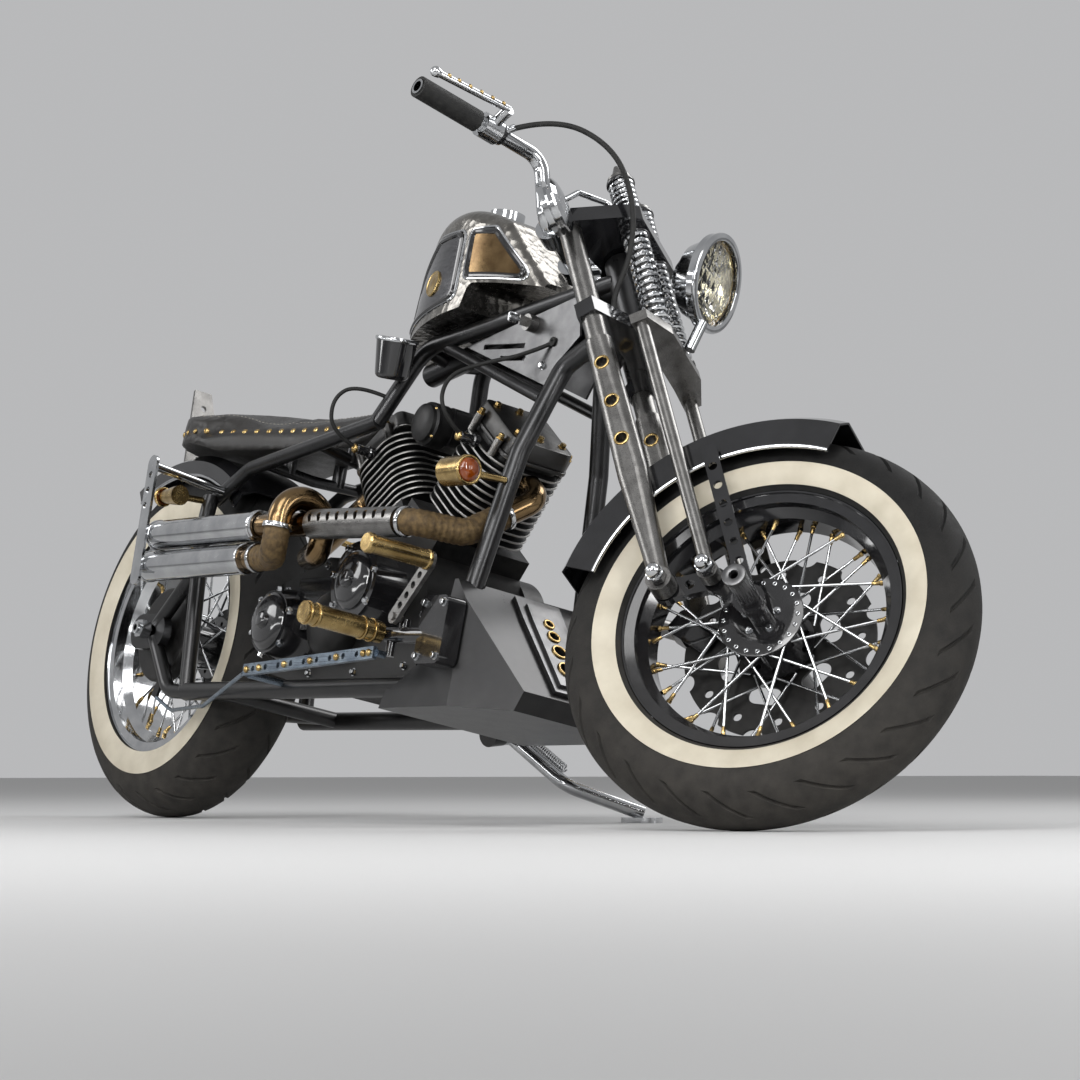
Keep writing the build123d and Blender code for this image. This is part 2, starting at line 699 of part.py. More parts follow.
with BuildPart() as right_covers:
    with BuildSketch(Plane.XZ.offset(92 + SEAT_GAP)):
        with Locations((CRANK_X, CRANK_Z - 25)):
            Circle(74)
    extrude(amount=72, taper=6)
    with BuildSketch(Plane.XZ.offset(92 + SEAT_GAP)):
        with Locations((500, 316)):
            Circle(70)
    extrude(amount=60, taper=14)
    with BuildSketch(Plane.XZ.offset(92 + SEAT_GAP)):
        with Locations((632, 350)):
            Rectangle(200, 90)
    extrude(amount=34)
piece(right_covers, "engine_covers", PARKED)

def cylinder_plane(lean):
    turn = math.radians(lean)
    return Plane(
        origin=(CRANK_X, 0, CRANK_Z),
        x_dir=(math.cos(turn), 0, -math.sin(turn)),
        z_dir=(math.sin(turn), 0, math.cos(turn)),
    )


with BuildPart() as cylinders:
    for lean in (HALF_V, -HALF_V):
        base = cylinder_plane(lean)
        with BuildSketch(base.offset(BARREL_BASE)):
            Circle(56)
        extrude(amount=BARREL_TOP - BARREL_BASE)
        for fin in range(FIN_COUNT):
            level = BARREL_BASE + 18 + fin * (BARREL_TOP - BARREL_BASE - 22) / (FIN_COUNT - 1)
            with BuildSketch(base.offset(level)):
                RectangleRounded(2 * FIN_HALF, 2 * FIN_HALF, 26)
            extrude(amount=FIN_T)
piece(cylinders, "cylinders", PARKED)

with BuildPart() as heads:
    for lean in (HALF_V, -HALF_V):
        base = cylinder_plane(lean)
        with BuildSketch(base.offset(BARREL_TOP + SEAT_GAP)):
            RectangleRounded(118, 118, 20)
        extrude(amount=HEAD_TOP - BARREL_TOP)
        for level in (BARREL_TOP + 12, BARREL_TOP + 25, BARREL_TOP + 38):
            with BuildSketch(base.offset(level)):
                RectangleRounded(2 * FIN_HALF, 2 * FIN_HALF, 26)
            extrude(amount=FIN_T)
        with BuildSketch(base.offset(HEAD_TOP)):
            RectangleRounded(150, 130, 18)
        extrude(amount=COVER_TOP - HEAD_TOP, taper=8)
piece(heads, "cylinder_heads", PARKED)

with BuildPart() as carburettor:
    with BuildSketch(Plane.XZ.offset(-50)):
        with Locations((CRANK_X, 664)):
            RectangleRounded(76, 66, 14)
    extrude(amount=100)
    add(rod((CRANK_X - 75.6, 0, 662), (CRANK_X + 75.6, 0, 662), 19))
    with BuildSketch(Plane.XZ.offset(50)):
        with Locations((CRANK_X, 664)):
            Circle(38)
    extrude(amount=26)
piece(carburettor, "carburettor", PARKED)

# Exhaust on the right side
HEADER_BEND = (972, -204, 454.5)
HEADER_END = (560, MUFFLER_Y, UPPER_MUFFLER_Z)
with BuildPart() as front_pipe:
    add(tube(((979, 0, 564), (1014, 0, 539), (1003, -120, 454.5), HEADER_BEND, HEADER_END), PIPE_R, 34))
piece(front_pipe, "front_exhaust_pipe", PARKED)

shield_way = (Vector(HEADER_END) - Vector(HEADER_BEND)).normalized()
with BuildPart() as heat_shield:
    with BuildSketch(Plane(Vector(HEADER_BEND) + shield_way * 26, x_dir=(0, 0, 1), z_dir=shield_way)):
        Circle(PIPE_R + 5)
        Circle(PIPE_R + SEAT_GAP, mode=Mode.SUBTRACT)
        with Locations((0, 30)):
            Rectangle(80, 44, mode=Mode.SUBTRACT)
    extrude(amount=240)
    with BuildSketch(Plane.XZ.offset(190)):
        for slot in range(9):
            with Locations((924 - 25 * slot, 464)):
                SlotOverall(18, 8, rotation=-60)
    extrude(amount=100, mode=Mode.SUBTRACT)
piece(heat_shield, "heat_shield", PARKED)

LOOP_X = 668.0
LOOP_IN_Y = -181.0
LOOP_OUT_Y = -268.0
LOOP_TOP_Z = 502.0
LOOP_WAY = (
    (552, -20, 567),
    (518, -20, 543),
    (566, -140, 425),
    (LOOP_X, LOOP_IN_Y, 420),
    (LOOP_X, LOOP_IN_Y, LOOP_TOP_Z),
    (LOOP_X, LOOP_OUT_Y, LOOP_TOP_Z),
    (LOOP_X, LOOP_OUT_Y, LOWER_MUFFLER_Z),
    (606, MUFFLER_Y, LOWER_MUFFLER_Z),
    (530, MUFFLER_Y, LOWER_MUFFLER_Z),
)
with BuildPart() as rear_pipe:
    add(tube(LOOP_WAY, PIPE_R, (24, 30, 28, 43, 43, 30, 26)))
piece(rear_pipe, "rear_exhaust_pipe", PARKED)

with BuildPart() as mufflers:
    for x_front, x_rear, height in ((558, 203, UPPER_MUFFLER_Z), (529.6, 188, LOWER_MUFFLER_Z)):
        with BuildSketch(Plane(origin=(x_front, MUFFLER_Y, height), z_dir=(-1, 0, 0))):
            Circle(MUFFLER_R)
        extrude(amount=x_front - x_rear)
        with BuildSketch(Plane(origin=(x_rear, MUFFLER_Y, height), z_dir=(1, 0, 0))):
            Circle(MUFFLER_R - 5)
        extrude(amount=90, mode=Mode.SUBTRACT)
piece(mufflers, "mufflers", PARKED)

with BuildPart() as hanger:
    with BuildSketch(Plane.XZ.offset(-MUFFLER_Y + MUFFLER_R + SEAT_GAP)):
        with Locations((196, 482)):
            SlotOverall(236, 30, rotation=94)
        for hole in range(3):
            with Locations((190, 508 + 28 * hole)):
                Circle(6, mode=Mode.SUBTRACT)
    extrude(amount=5)
    add(rod((187, MUFFLER_Y - MUFFLER_R - 4, 582), (187, -SEAT_RAIL_Y - 14, 571), 8))
piece(hanger, "exhaust_hanger", PARKED)

# Tank, seat and tail
def tank_form(grow):
    with BuildPart() as form:
        with BuildSketch(Plane.XY.offset(780)):
            with BuildLine():
                Polyline((TANK_REAR_X - grow, 0), (TANK_FRONT_X, 0), (TANK_FRONT_X, 42 + grow))
                ThreePointArc((TANK_FRONT_X, 42 + grow), (770, TANK_HALF + grow), (TANK_REAR_X - grow, 0))
            make_face()
            mirror(about=Plane.XZ)
        extrude(amount=300, taper=5)
        with BuildSketch(Plane.XZ.offset(-200)):
            with BuildLine():
                Polyline((540, tank_low(540)), (985, tank_low(985)), (985, 888), (886, 1006))
                ThreePointArc((886, 1006), (700, 1024), (540, 850))
                Line((540, 850), (540, tank_low(540)))
            make_face()
        extrude(amount=400, mode=Mode.INTERSECT)
    return form.part


with BuildPart() as fuel_tank:
    add(tank_form(0))
    upper = fuel_tank.edges().filter_by(lambda edge: edge.center().Z > 930)
    fillet(upper.filter_by(GeomType.LINE, reverse=True), TANK_ROUND)
    with BuildSketch(Plane.XZ.offset(-200)):
        with BuildLine():
            FilletPolyline((826, 820), (1040, 860), (1040, 890), (842, 896), radius=14, close=True)
        make_face()
    extrude(amount=400, mode=Mode.SUBTRACT)
piece(fuel_tank, "fuel_tank", PARKED)

with BuildPart() as tank_panels:
    add(tank_form(2.4))
    add(tank_form(SEAT_GAP), mode=Mode.SUBTRACT)
    with BuildSketch(Plane.XZ.offset(-200)):
        with BuildLine():
            FilletPolyline((612, 838), (802, 876), (790, 984), (716, 978), (640, 920), radius=14, close=True)
        make_face()
        with BuildLine():
            FilletPolyline((838, 912), (944, 908), (926, 930), (876, 980), (828, 984), radius=5, close=True)
        make_face()
    extrude(amount=400, mode=Mode.INTERSECT)
piece(tank_panels, "tank_panels", PARKED)

with BuildPart() as tank_cap:
    with BuildSketch(Plane.XY.offset(TANK_TOP_Z + SEAT_GAP)):
        with Locations((774, 0)):
            Circle(30)
    extrude(amount=16)
piece(tank_cap, "tank_cap", PARKED)

GAUGE_SPOT = (690, -118, 736)
with BuildPart() as gauge:
    with BuildSketch(Plane(GAUGE_SPOT, z_dir=(0.2, -0.15, 1))):
        Circle(28)
    extrude(amount=64, taper=-6)
    fillet(gauge.faces().sort_by(Axis.Z)[0].edges(), 10)
    add(rod((690, -112, 756), (678.4, -88, 756), 6))
piece(gauge, "gauge", PARKED)

with BuildPart() as seat:
    with BuildSketch(Plane.XZ.offset(-200)):
        with BuildLine():
            Polyline((-70, SEAT_Z + 16), (60, SEAT_Z + 16), (130, SEAT_Z), (480, SEAT_Z), (556, SEAT_Z + 24))
            Line((556, SEAT_Z + 24), (560, 716))
            ThreePointArc((560, 716), (220, 703), (-70, 742))
            Line((-70, 742), (-70, SEAT_Z + 16))
        make_face()
    extrude(amount=400)
    with BuildSketch(Plane.XY.offset(SEAT_Z - 20)):
        with BuildLine():
            Line((556, 0), (556, 40))
            ThreePointArc((556, 40), (330, 68), (120, 122))
            ThreePointArc((120, 122), (-25, 90), (-62, 0))
            Line((-62, 0), (556, 0))
        make_face()
        mirror(about=Plane.XZ)
    extrude(amount=160, mode=Mode.INTERSECT)
    fillet(seat.edges().filter_by(lambda edge: edge.center().Z > 700), 12)
piece(seat, "seat", PARKED)

rear_fender_r = REAR_TYRE_R + FENDER_GAP
with BuildPart() as rear_fender:
    with BuildSketch(Plane.XY):
        with BuildLine():
            Polyline(
                (rear_fender_r - 40, 85),
                (rear_fender_r - 14, 85),
                (rear_fender_r, 64),
                (rear_fender_r, 0),
            )
        trace(line_width=FENDER_T)
        mirror(about=Plane.XZ)
    revolve(axis=Axis.Y, revolution_arc=72)
piece(rear_fender, "rear_fender", PARKED * REAR_HUB * Rot(0, -122, 0))

with BuildPart() as sissy_bar:
    with BuildSketch(Plane(origin=(-105, 0, 645.1), x_dir=(0, 1, 0), z_dir=(0.94, 0, 0.34))):
        with BuildLine():
            Polyline((-40, 0), (40, 0), (40, 20), (18, 178), (-18, 178), (-40, 20), close=True)
        make_face()
        for hole in range(4):
            with Locations((0, 40 + 34 * hole)):
                Circle(9 - hole, mode=Mode.SUBTRACT)
    extrude(amount=6)
piece(sissy_bar, "sissy_bar", PARKED)

with BuildPart() as signals:
    add(rod((152, -132, 552), (172, -200, 543), 6))
    with BuildSketch(Plane(origin=(205, -206, 540), z_dir=(-1, 0, 0))):
        Circle(18)
    extrude(amount=60, taper=6)
    add(rod((1059, -102.3, 543.5), (1080, -188, 533), 6))
    with BuildSketch(Plane(origin=(1050, -204, 531), z_dir=(1, 0, 0))):
        Circle(24)
    extrude(amount=56)
    mirror(about=Plane.XZ)
piece(signals, "turn_signals", PARKED)


def chin_form(inset):
    with BuildPart() as form:
        with BuildSketch(Plane.XZ.offset(-146 + inset)):
            with BuildLine():
                Polyline(
                    (880 - 9 * inset, 164 + inset),
                    (1192 - inset, 168 + inset),
                    (1204 - 1.4 * inset, 200),
                    (1046 - 1.4 * inset, 372),
                    (960 - 9 * inset, 372),
                    close=True,
                )
            make_face()
        extrude(amount=292 - 2 * inset)
        with BuildSketch(Plane.XY.offset(100)):
            with BuildLine():
                Polyline(
                    (800, 0),
                    (1230 - inset, 0),
                    (1230 - inset, 84 - inset),
                    (1075, 146 - inset),
                    (800, 146 - inset),
                    close=True,
                )
            make_face()
            mirror(about=Plane.XZ)
        extrude(amount=400, mode=Mode.INTERSECT)
    return form.part


with BuildPart() as chin:
    add(chin_form(0))
    add(chin_form(3), mode=Mode.SUBTRACT)
    with BuildSketch(Plane.XZ.offset(-200)):
        with BuildLine():
            Polyline(
                (800, 196),
                (905, 196),
                (1020, 262),
                (1036, 372),
                (1000, 420),
                (800, 420),
                close=True,
            )
        make_face()
    extrude(amount=400, mode=Mode.SUBTRACT)
    for side in (-1, 1):
        add(tube([(x, side * y, z) for x, y, z in DOWN_TUBE], TUBE_R + 2, 40), mode=Mode.SUBTRACT)
piece(chin, "chin_fairing", PARKED)

CHIN_FACE = Plane(origin=(1046, 0, 372), x_dir=(0, 1, 0), z_dir=(172, 0, 158))
with BuildPart() as chin_panel:
    with BuildSketch(CHIN_FACE.offset(SEAT_GAP)):
        with BuildLine():
            Polyline((-34, -222), (34, -222), (44, -60), (44, -12), (-44, -12), (-44, -60), close=True)
        make_face()
    extrude(amount=7)
    with BuildSketch(CHIN_FACE.offset(7)):
        with BuildLine():
            Polyline((-24, -210), (24, -210), (30, -70), (30, -30), (-30, -30), (-30, -70), close=True)
        make_face()
    extrude(amount=6)
    for drop, radius in ((70, 6), (98, 8), (132, 10), (172, 12)):
        with BuildSketch(CHIN_FACE):
            with Locations((0, -drop)):
                Circle(radius)
        extrude(amount=20, mode=Mode.SUBTRACT)
piece(chin_panel, "chin_panel", PARKED)

# Foot controls
with BuildPart() as control_mounts:
    with BuildSketch(Plane.XZ.offset(147)):
        with Locations((1046, 282)):
            RectangleRounded(72, 110, 12)
    extrude(amount=34)
    add(rod((1046, -164, 275), (930, -184, 275), 13))
    add(rod((965, -178, 275), (965, -178, 300), 9))
    add(rod((941, -182, 275), (941, -182, 240), 8))
    mirror(about=Plane.XZ)
piece(control_mounts, "control_mounts", PARKED)

with BuildPart() as footpegs:
    with BuildSketch(Plane.XZ.offset(200)):
        with Locations((930, 275)):
            Circle(18)
    extrude(amount=146)
    with BuildSketch(Plane.XZ.offset(196.8)):
        with Locations((930, 275)):
            Circle(11)
    extrude(amount=6)
    mirror(about=Plane.XZ)
piece(footpegs, "footpegs", PARKED)

PEDAL_PIVOT = (965, 300)
PEDAL_TIP = (1042, 388)
with BuildPart() as pedals:
    with BuildSketch(Plane.XZ.offset(196)):
        with BuildLine():
            arm = Line(PEDAL_PIVOT, PEDAL_TIP)
        trace(line_width=24)
        with Locations(PEDAL_PIVOT):
            Circle(12)
        for hole in range(4):
            with Locations(arm @ (0.2 + 0.18 * hole)):
                Circle(6, mode=Mode.SUBTRACT)
    extrude(amount=8)
    with BuildSketch(Plane.XZ.offset(200)):
        with Locations(PEDAL_TIP):
            Circle(15)
    extrude(amount=124)
    with BuildSketch(Plane.XZ.offset(187 + SEAT_GAP)):
        with Locations(PEDAL_PIVOT):
            Circle(7)
    extrude(amount=20)
    mirror(about=Plane.XZ)
piece(pedals, "foot_pedals", PARKED)

LINK_REAR = (548, 217)
LINK_FRONT = (941, 240)
with BuildPart() as links:
    with BuildSketch(Plane.XZ.offset(205)):
        with BuildLine():
            bar = Line(LINK_REAR, LINK_FRONT)
        trace(line_width=20)
        for hole in range(9):
            with Locations(bar @ (0.08 + 0.1 * hole)):
                Circle(5, mode=Mode.SUBTRACT)
    extrude(amount=8)
    for x, z, inner in ((941, 240, 190), (560, 210, 141)):
        with BuildSketch(Plane.XZ.offset(inner + SEAT_GAP)):
            with Locations((x, z)):
                Circle(6)
        extrude(amount=206 - inner)
    mirror(about=Plane.XZ)
    add(tube(((27.6, -78, 204), (90, -79, 180), (330, -152, 170), (545, -209, 212)), 3.5, 60))
piece(links, "control_links", PARKED)

# Side stand with its foot flat on the floor
foot_x = (PARKED * Pos(STAND_FOOT_X, STAND_FOOT_Y, 0)).position.X
foot_y = (PARKED * Pos(STAND_FOOT_X, STAND_FOOT_Y, 70)).position.Y
foot = PARKED.inverse() * Pos(foot_x, foot_y, 0)
with BuildPart() as stand:
    add(tube((STAND_PIVOT, STAND_KNEE, foot.position + Vector(0, 0, 16)), STAND_LEG_R, 60))
    with BuildSketch(Plane(STAND_PIVOT, z_dir=STAND_AXIS)):
        Circle(20)
    extrude(amount=14, both=True)
    with BuildSketch(Plane(foot)):
        SlotOverall(84, 46)
    extrude(amount=9)
piece(stand, "side_stand", PARKED)

# Origin on the floor under the middle of the parked bike
solids = [built.moved(pose) for built, label, pose in pieces]
reach = Compound(children=solids).bounding_box()
ORIGIN = Pos(-(reach.min.X + reach.max.X) / 2, -(reach.min.Y + reach.max.Y) / 2, -reach.min.Z)
for built, label, pose in pieces:
    finished = built.moved(ORIGIN * pose)
    finished.label = label
    export_step(finished, f"parts/{label}.step")


def show(name, pose, way):
    spot = (ORIGIN * pose).position
    print(name, spot.X, spot.Y, spot.Z, way.X, way.Y, way.Z)


show("steering", FORK, Plane(FORK).z_dir)
show("front_wheel_spin", FORK * FRONT_HUB, Plane(FORK).y_dir)
show("rear_wheel_spin", PARKED * REAR_HUB, Plane(PARKED).y_dir)
stand_hinge = PARKED * Plane(STAND_PIVOT, z_dir=STAND_AXIS).location
show("stand_fold", stand_hinge, Plane(stand_hinge).z_dir)
bar_tip = FORK * Plane(BAR_END, z_dir=-bar_way).location
show("bar_end", bar_tip, Plane(bar_tip).z_dir)
show("rear_axle_end", PARKED * REAR_HUB * Pos(0, -100, 0), -Plane(PARKED).y_dir)
print("box", reach.size.X, reach.size.Y, reach.size.Z)
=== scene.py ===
import math
import bmesh
import bpy
from mathutils import Matrix, Vector


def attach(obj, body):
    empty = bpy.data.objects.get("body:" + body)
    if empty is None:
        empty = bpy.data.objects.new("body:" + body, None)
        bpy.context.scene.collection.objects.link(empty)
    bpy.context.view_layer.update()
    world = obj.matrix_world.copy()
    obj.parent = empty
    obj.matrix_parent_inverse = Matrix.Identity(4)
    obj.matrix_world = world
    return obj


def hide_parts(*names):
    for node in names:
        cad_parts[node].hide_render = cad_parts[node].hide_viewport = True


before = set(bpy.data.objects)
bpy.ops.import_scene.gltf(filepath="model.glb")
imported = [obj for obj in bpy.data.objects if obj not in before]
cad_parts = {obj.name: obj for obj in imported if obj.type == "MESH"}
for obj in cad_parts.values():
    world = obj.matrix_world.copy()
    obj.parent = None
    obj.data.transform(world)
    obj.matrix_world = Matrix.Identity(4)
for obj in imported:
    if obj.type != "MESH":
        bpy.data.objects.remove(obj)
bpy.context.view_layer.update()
print("frame loaded,", len(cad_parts), "nodes")

# how the bike stands: the same angles as the solids, lengths in metres
stance = {
    "shift": (-0.7947358, -0.0663907, 0.0015916),
    "pitch": 0.36511,
    "lean": 11.8,
    "rake": 34.0,
    "steer": 32.4,
    "axisFoot": (1.755, 0, 0),
    "frontAxle": (0.0711668, 0, 0.3379871),
    "rearAxle": (0, 0, 0.323),
}
bothWays = (-1, 1)  # right side, then left


def turn(degrees, axis):
    return Matrix.Rotation(math.radians(degrees), 4, axis)


def shift(x, y, z):
    return Matrix.Translation((x, y, z))


bikePlace = shift(*stance["shift"]) @ turn(stance["pitch"], "Y") @ turn(-stance["lean"], "X")
forkPlace = bikePlace @ shift(*stance["axisFoot"]) @ turn(-stance["rake"], "Y") @ turn(stance["steer"], "Z")
frontPlace = forkPlace @ shift(*stance["frontAxle"])
rearPlace = bikePlace @ shift(*stance["rearAxle"])


# shader helpers
def feed(tree, node, inputs):  # a socket is linked, anything else is set
    for key, value in inputs.items():
        if isinstance(value, bpy.types.NodeSocket):
            tree.links.new(value, node.inputs[key])
        else:
            node.inputs[key].default_value = value


def addNode(tree, kind, inputs, **values):  # set out in a row, in the order they are made
    node = tree.nodes.new("ShaderNode" + kind)
    node.location = (200 * len(tree.nodes), 300)
    for key, value in values.items():
        setattr(node, key, value)
    feed(tree, node, inputs)
    return node


def mathStep(tree, operation, *values, clamp=False):
    inputs = dict(enumerate(values))
    return addNode(tree, "Math", inputs, operation=operation, use_clamp=clamp).outputs[0]


def mixColours(tree, share, first, second):
    inputs = {0: share, 6: first, 7: second}
    return addNode(tree, "Mix", inputs, data_type="RGBA").outputs[2]


def useGroup(tree, name, inputs):
    return addNode(tree, "Group", inputs, node_tree=bpy.data.node_groups[name]).outputs


def newGroup(name, inputs, outputs):
    tree = bpy.data.node_groups.new(name, "ShaderNodeTree")
    for label, kind, start in inputs:
        socket = tree.interface.new_socket(label, in_out="INPUT", socket_type="NodeSocket" + kind)
        if start is not None:
            socket.default_value = start
    for label, kind in outputs:
        tree.interface.new_socket(label, in_out="OUTPUT", socket_type="NodeSocket" + kind)
    given, result = tree.nodes.new("NodeGroupInput"), tree.nodes.new("NodeGroupOutput")
    return tree, given.outputs, result


def buildGrainGroup():  # soft mottling: mixes two colours and two roughness values
    tree, given, result = newGroup(
        "surfaceGrain",
        [("Vector", "Vector", None), ("Scale", "Float", 60.0), ("Dark", "Color", None),
         ("Light", "Color", None), ("Smooth", "Float", 0.3), ("Rough", "Float", 0.5)],
        [("Color", "Color"), ("Roughness", "Float"), ("Height", "Float")])
    broad = addNode(tree, "TexNoise", {
        "Detail": 6, "Vector": given["Vector"], "Scale": given["Scale"]}).outputs["Fac"]
    fineScale = mathStep(tree, "MULTIPLY", given["Scale"], 9.0)
    fine = addNode(tree, "TexNoise", {
        "Detail": 4, "Vector": given["Vector"], "Scale": fineScale}).outputs["Fac"]
    share = addNode(tree, "MapRange", {"From Min": 0.34, "From Max": 0.68, "Value": broad})
    both = mathStep(tree, "ADD", broad, fine)
    rough = addNode(tree, "MapRange", {
        "From Min": 0.7, "From Max": 1.3, "Value": both,
        "To Min": given["Smooth"], "To Max": given["Rough"]})
    feed(tree, result, {
        "Color": mixColours(tree, share.outputs[0], given["Dark"], given["Light"]),
        "Roughness": rough.outputs[0], "Height": fine})


def buildBrushGroup():  # long scratches left by brushing along X
    tree, given, result = newGroup(
        "brushMarks",
        [("Vector", "Vector", None), ("Along", "Float", 6.0), ("Across", "Float", 900.0)],
        [("Mask", "Float")])
    size = addNode(tree, "CombineXYZ", {
        0: given["Along"], 1: given["Across"], 2: given["Across"]})
    stretch = addNode(tree, "VectorMath", {
        0: given["Vector"], 1: size.outputs[0]}, operation="MULTIPLY")
    noise = addNode(tree, "TexNoise", {
        "Scale": 1.0, "Detail": 3, "Vector": stretch.outputs[0]})
    feed(tree, result, {"Mask": noise.outputs["Fac"]})


def buildDimpleGroup():  # round hammer blows
    tree, given, result = newGroup(
        "hammerBlows", [("Vector", "Vector", None), ("Scale", "Float", 90.0)],
        [("Height", "Float"), ("Mask", "Float")])
    cells = addNode(tree, "TexVoronoi", {
        "Smoothness": 0.35, "Vector": given["Vector"], "Scale": given["Scale"]}, feature="SMOOTH_F1")
    bowl = mathStep(tree, "POWER", cells.outputs["Distance"], 1.6)
    feed(tree, result, {"Height": bowl, "Mask": cells.outputs["Distance"]})


def buildDustGroup():  # road dust that thickens towards the floor
    tree, given, result = newGroup(
        "roadDust",
        [("Vector", "Vector", None), ("Color", "Color", None), ("Amount", "Float", 0.3),
         ("Top", "Float", 0.45)],
        [("Color", "Color"), ("Mask", "Float")])
    parts = addNode(tree, "SeparateXYZ", {0: given["Vector"]})
    fall = addNode(tree, "MapRange", {
        "To Min": 1, "To Max": 0, "Value": parts.outputs["Z"], "From Max": given["Top"]})
    specks = addNode(tree, "TexNoise", {
        "Scale": 38, "Detail": 8, "Vector": given["Vector"]})
    spread = mathStep(tree, "MULTIPLY", fall.outputs[0], specks.outputs["Fac"])
    amount = mathStep(tree, "MULTIPLY", spread, given["Amount"], clamp=True)
    dustColour = (0.20, 0.18, 0.155, 1)
    feed(tree, result, {
        "Color": mixColours(tree, amount, given["Color"], dustColour), "Mask": amount})


buildGrainGroup()
buildBrushGroup()
buildDimpleGroup()
buildDustGroup()


def localVector(tree, place):  # object coordinates, plain and turned back into a piece's own frame
    spot = addNode(tree, "TexCoord", {}).outputs["Object"]
    back = place.inverted()
    mapping = addNode(tree, "Mapping", {
        "Location": back.translation, "Rotation": back.to_euler(), "Vector": spot})
    return spot, mapping.outputs["Vector"]


def newFinish(name, look, place=None):
    mat = bpy.data.materials.new(name)
    mat.use_nodes = True
    tree = mat.node_tree
    world, local = localVector(tree, place or bikePlace)
    grain = useGroup(tree, "surfaceGrain", {
        "Scale": look.get("grain", 40), "Dark": (*look["dark"], 1), "Light": (*look["light"], 1),
        "Smooth": look["smooth"], "Rough": look["rough"], "Vector": local})
    dust = useGroup(tree, "roadDust", {
        "Amount": look.get("dust", 0.1), "Vector": world, "Color": grain["Color"]})
    roughness, height = grain["Roughness"], grain["Height"]
    if "brush" in look:
        height = useGroup(tree, "brushMarks", {"Vector": local})["Mask"]
        roughness = addNode(tree, "MapRange", {
            "From Min": 0.3, "From Max": 0.7, "To Min": look["smooth"], "To Max": look["rough"],
            "Value": height}).outputs[0]
    if "dimples" in look:
        height = useGroup(tree, "hammerBlows", {
            "Scale": look["dimples"], "Vector": local})["Height"]
    dusty = mathStep(tree, "MULTIPLY_ADD", dust["Mask"], 0.35, roughness, clamp=True)
    bump = addNode(tree, "Bump", {
        "Strength": look.get("bump", 0.05), "Distance": look.get("depth", 0.0005), "Height": height})
    feed(tree, tree.nodes["Principled BSDF"], {
        "Base Color": dust["Color"], "Roughness": dusty, "Metallic": look.get("metal", 0),
        "Coat Weight": look.get("coat", 0), "Coat Roughness": 0.06,
        "Specular IOR Level": look.get("spec", 0.5), "Normal": bump.outputs["Normal"]})
    return mat


looks = {  # two shades, the range of roughness, and what else the surface shows
    "gunmetal": dict(dark=(0.04292, 0.04292, 0.04403), light=(0.05032, 0.05032, 0.05143),
                     metal=0.9, smooth=0.27, rough=0.31, grain=30, bump=0.02),
    "blackGloss": dict(dark=(0.0064, 0.0064, 0.0072), light=(0.0128, 0.0128, 0.0144),
                       smooth=0.06, rough=0.15, coat=0.6, grain=22, bump=0.015),
    "satinSteel": dict(dark=(0.156, 0.1521, 0.1466), light=(0.2418, 0.2363, 0.2278),
                       metal=1, smooth=0.25, rough=0.35, brush=1, bump=0.02),
    "chrome": dict(dark=(0.4472, 0.4558, 0.4687), light=(0.5848, 0.5934, 0.602),
                   metal=1, smooth=0.04, rough=0.16, grain=26, bump=0.01),
    "brass": dict(dark=(0.3128, 0.2116, 0.0828), light=(0.5152, 0.3772, 0.1656),
                  metal=1, smooth=0.16, rough=0.3, grain=45, bump=0.02),
    "bareAlloy": dict(dark=(0.117, 0.117, 0.1193), light=(0.1638, 0.1638, 0.1661),
                      metal=1, smooth=0.3, rough=0.38, brush=1, bump=0.02),
    "blueAlloy": dict(dark=(0.136, 0.17, 0.2125), light=(0.255, 0.306, 0.357),
                      metal=1, smooth=0.2, rough=0.38, brush=1),
    "castBlack": dict(dark=(0.005, 0.005, 0.0053), light=(0.012, 0.0117, 0.0115),
                      metal=0.25, smooth=0.3, rough=0.5, grain=70, bump=0.2, depth=0.0006, spec=0.3),
    "rubber": dict(dark=(0.006, 0.006, 0.006), light=(0.014, 0.0137, 0.0134),
                   smooth=0.6, rough=0.86, grain=60, bump=0.25, dust=0.3, spec=0.2),
    "creamWall": dict(dark=(0.50, 0.45, 0.35), light=(0.62, 0.57, 0.46),
                      smooth=0.42, rough=0.62, grain=16, bump=0.06, dust=0.3),
    "bronze": dict(dark=(0.13, 0.082, 0.04), light=(0.26, 0.175, 0.088),
                   metal=1, smooth=0.12, rough=0.26, grain=24, bump=0.03),
    "hammered": dict(dark=(0.16, 0.152, 0.14), light=(0.288, 0.276, 0.256),
                     metal=1, smooth=0.16, rough=0.3, dimples=85, bump=0.28, depth=0.0035),
    "wrapCloth": dict(dark=(0.065, 0.04, 0.016), light=(0.17, 0.112, 0.047),
                      smooth=0.5, rough=0.75, grain=120, bump=0.6, depth=0.0012, metal=0.35),
    "amber": dict(dark=(0.13, 0.02, 0.001), light=(0.25, 0.052, 0.003), smooth=0.05, rough=0.1, coat=0.6, grain=60),
    "dialFace": dict(dark=(0.02, 0.02, 0.022), light=(0.05, 0.05, 0.052), smooth=0.3, rough=0.5, grain=60),
    "gripRubber": dict(dark=(0.010, 0.010, 0.010), light=(0.022, 0.022, 0.021),
                       smooth=0.5, rough=0.75, grain=90, bump=0.3, spec=0.25),
    "lampSilver": dict(dark=(0.62, 0.56, 0.40), light=(0.82, 0.77, 0.60), metal=1, smooth=0.12, rough=0.25, grain=40),
    "seatThread": dict(dark=(0.20, 0.19, 0.17), light=(0.34, 0.32, 0.28), smooth=0.6, rough=0.8, grain=200, bump=0.3),
}
finish = {name: newFinish(name, look) for name, look in looks.items()}


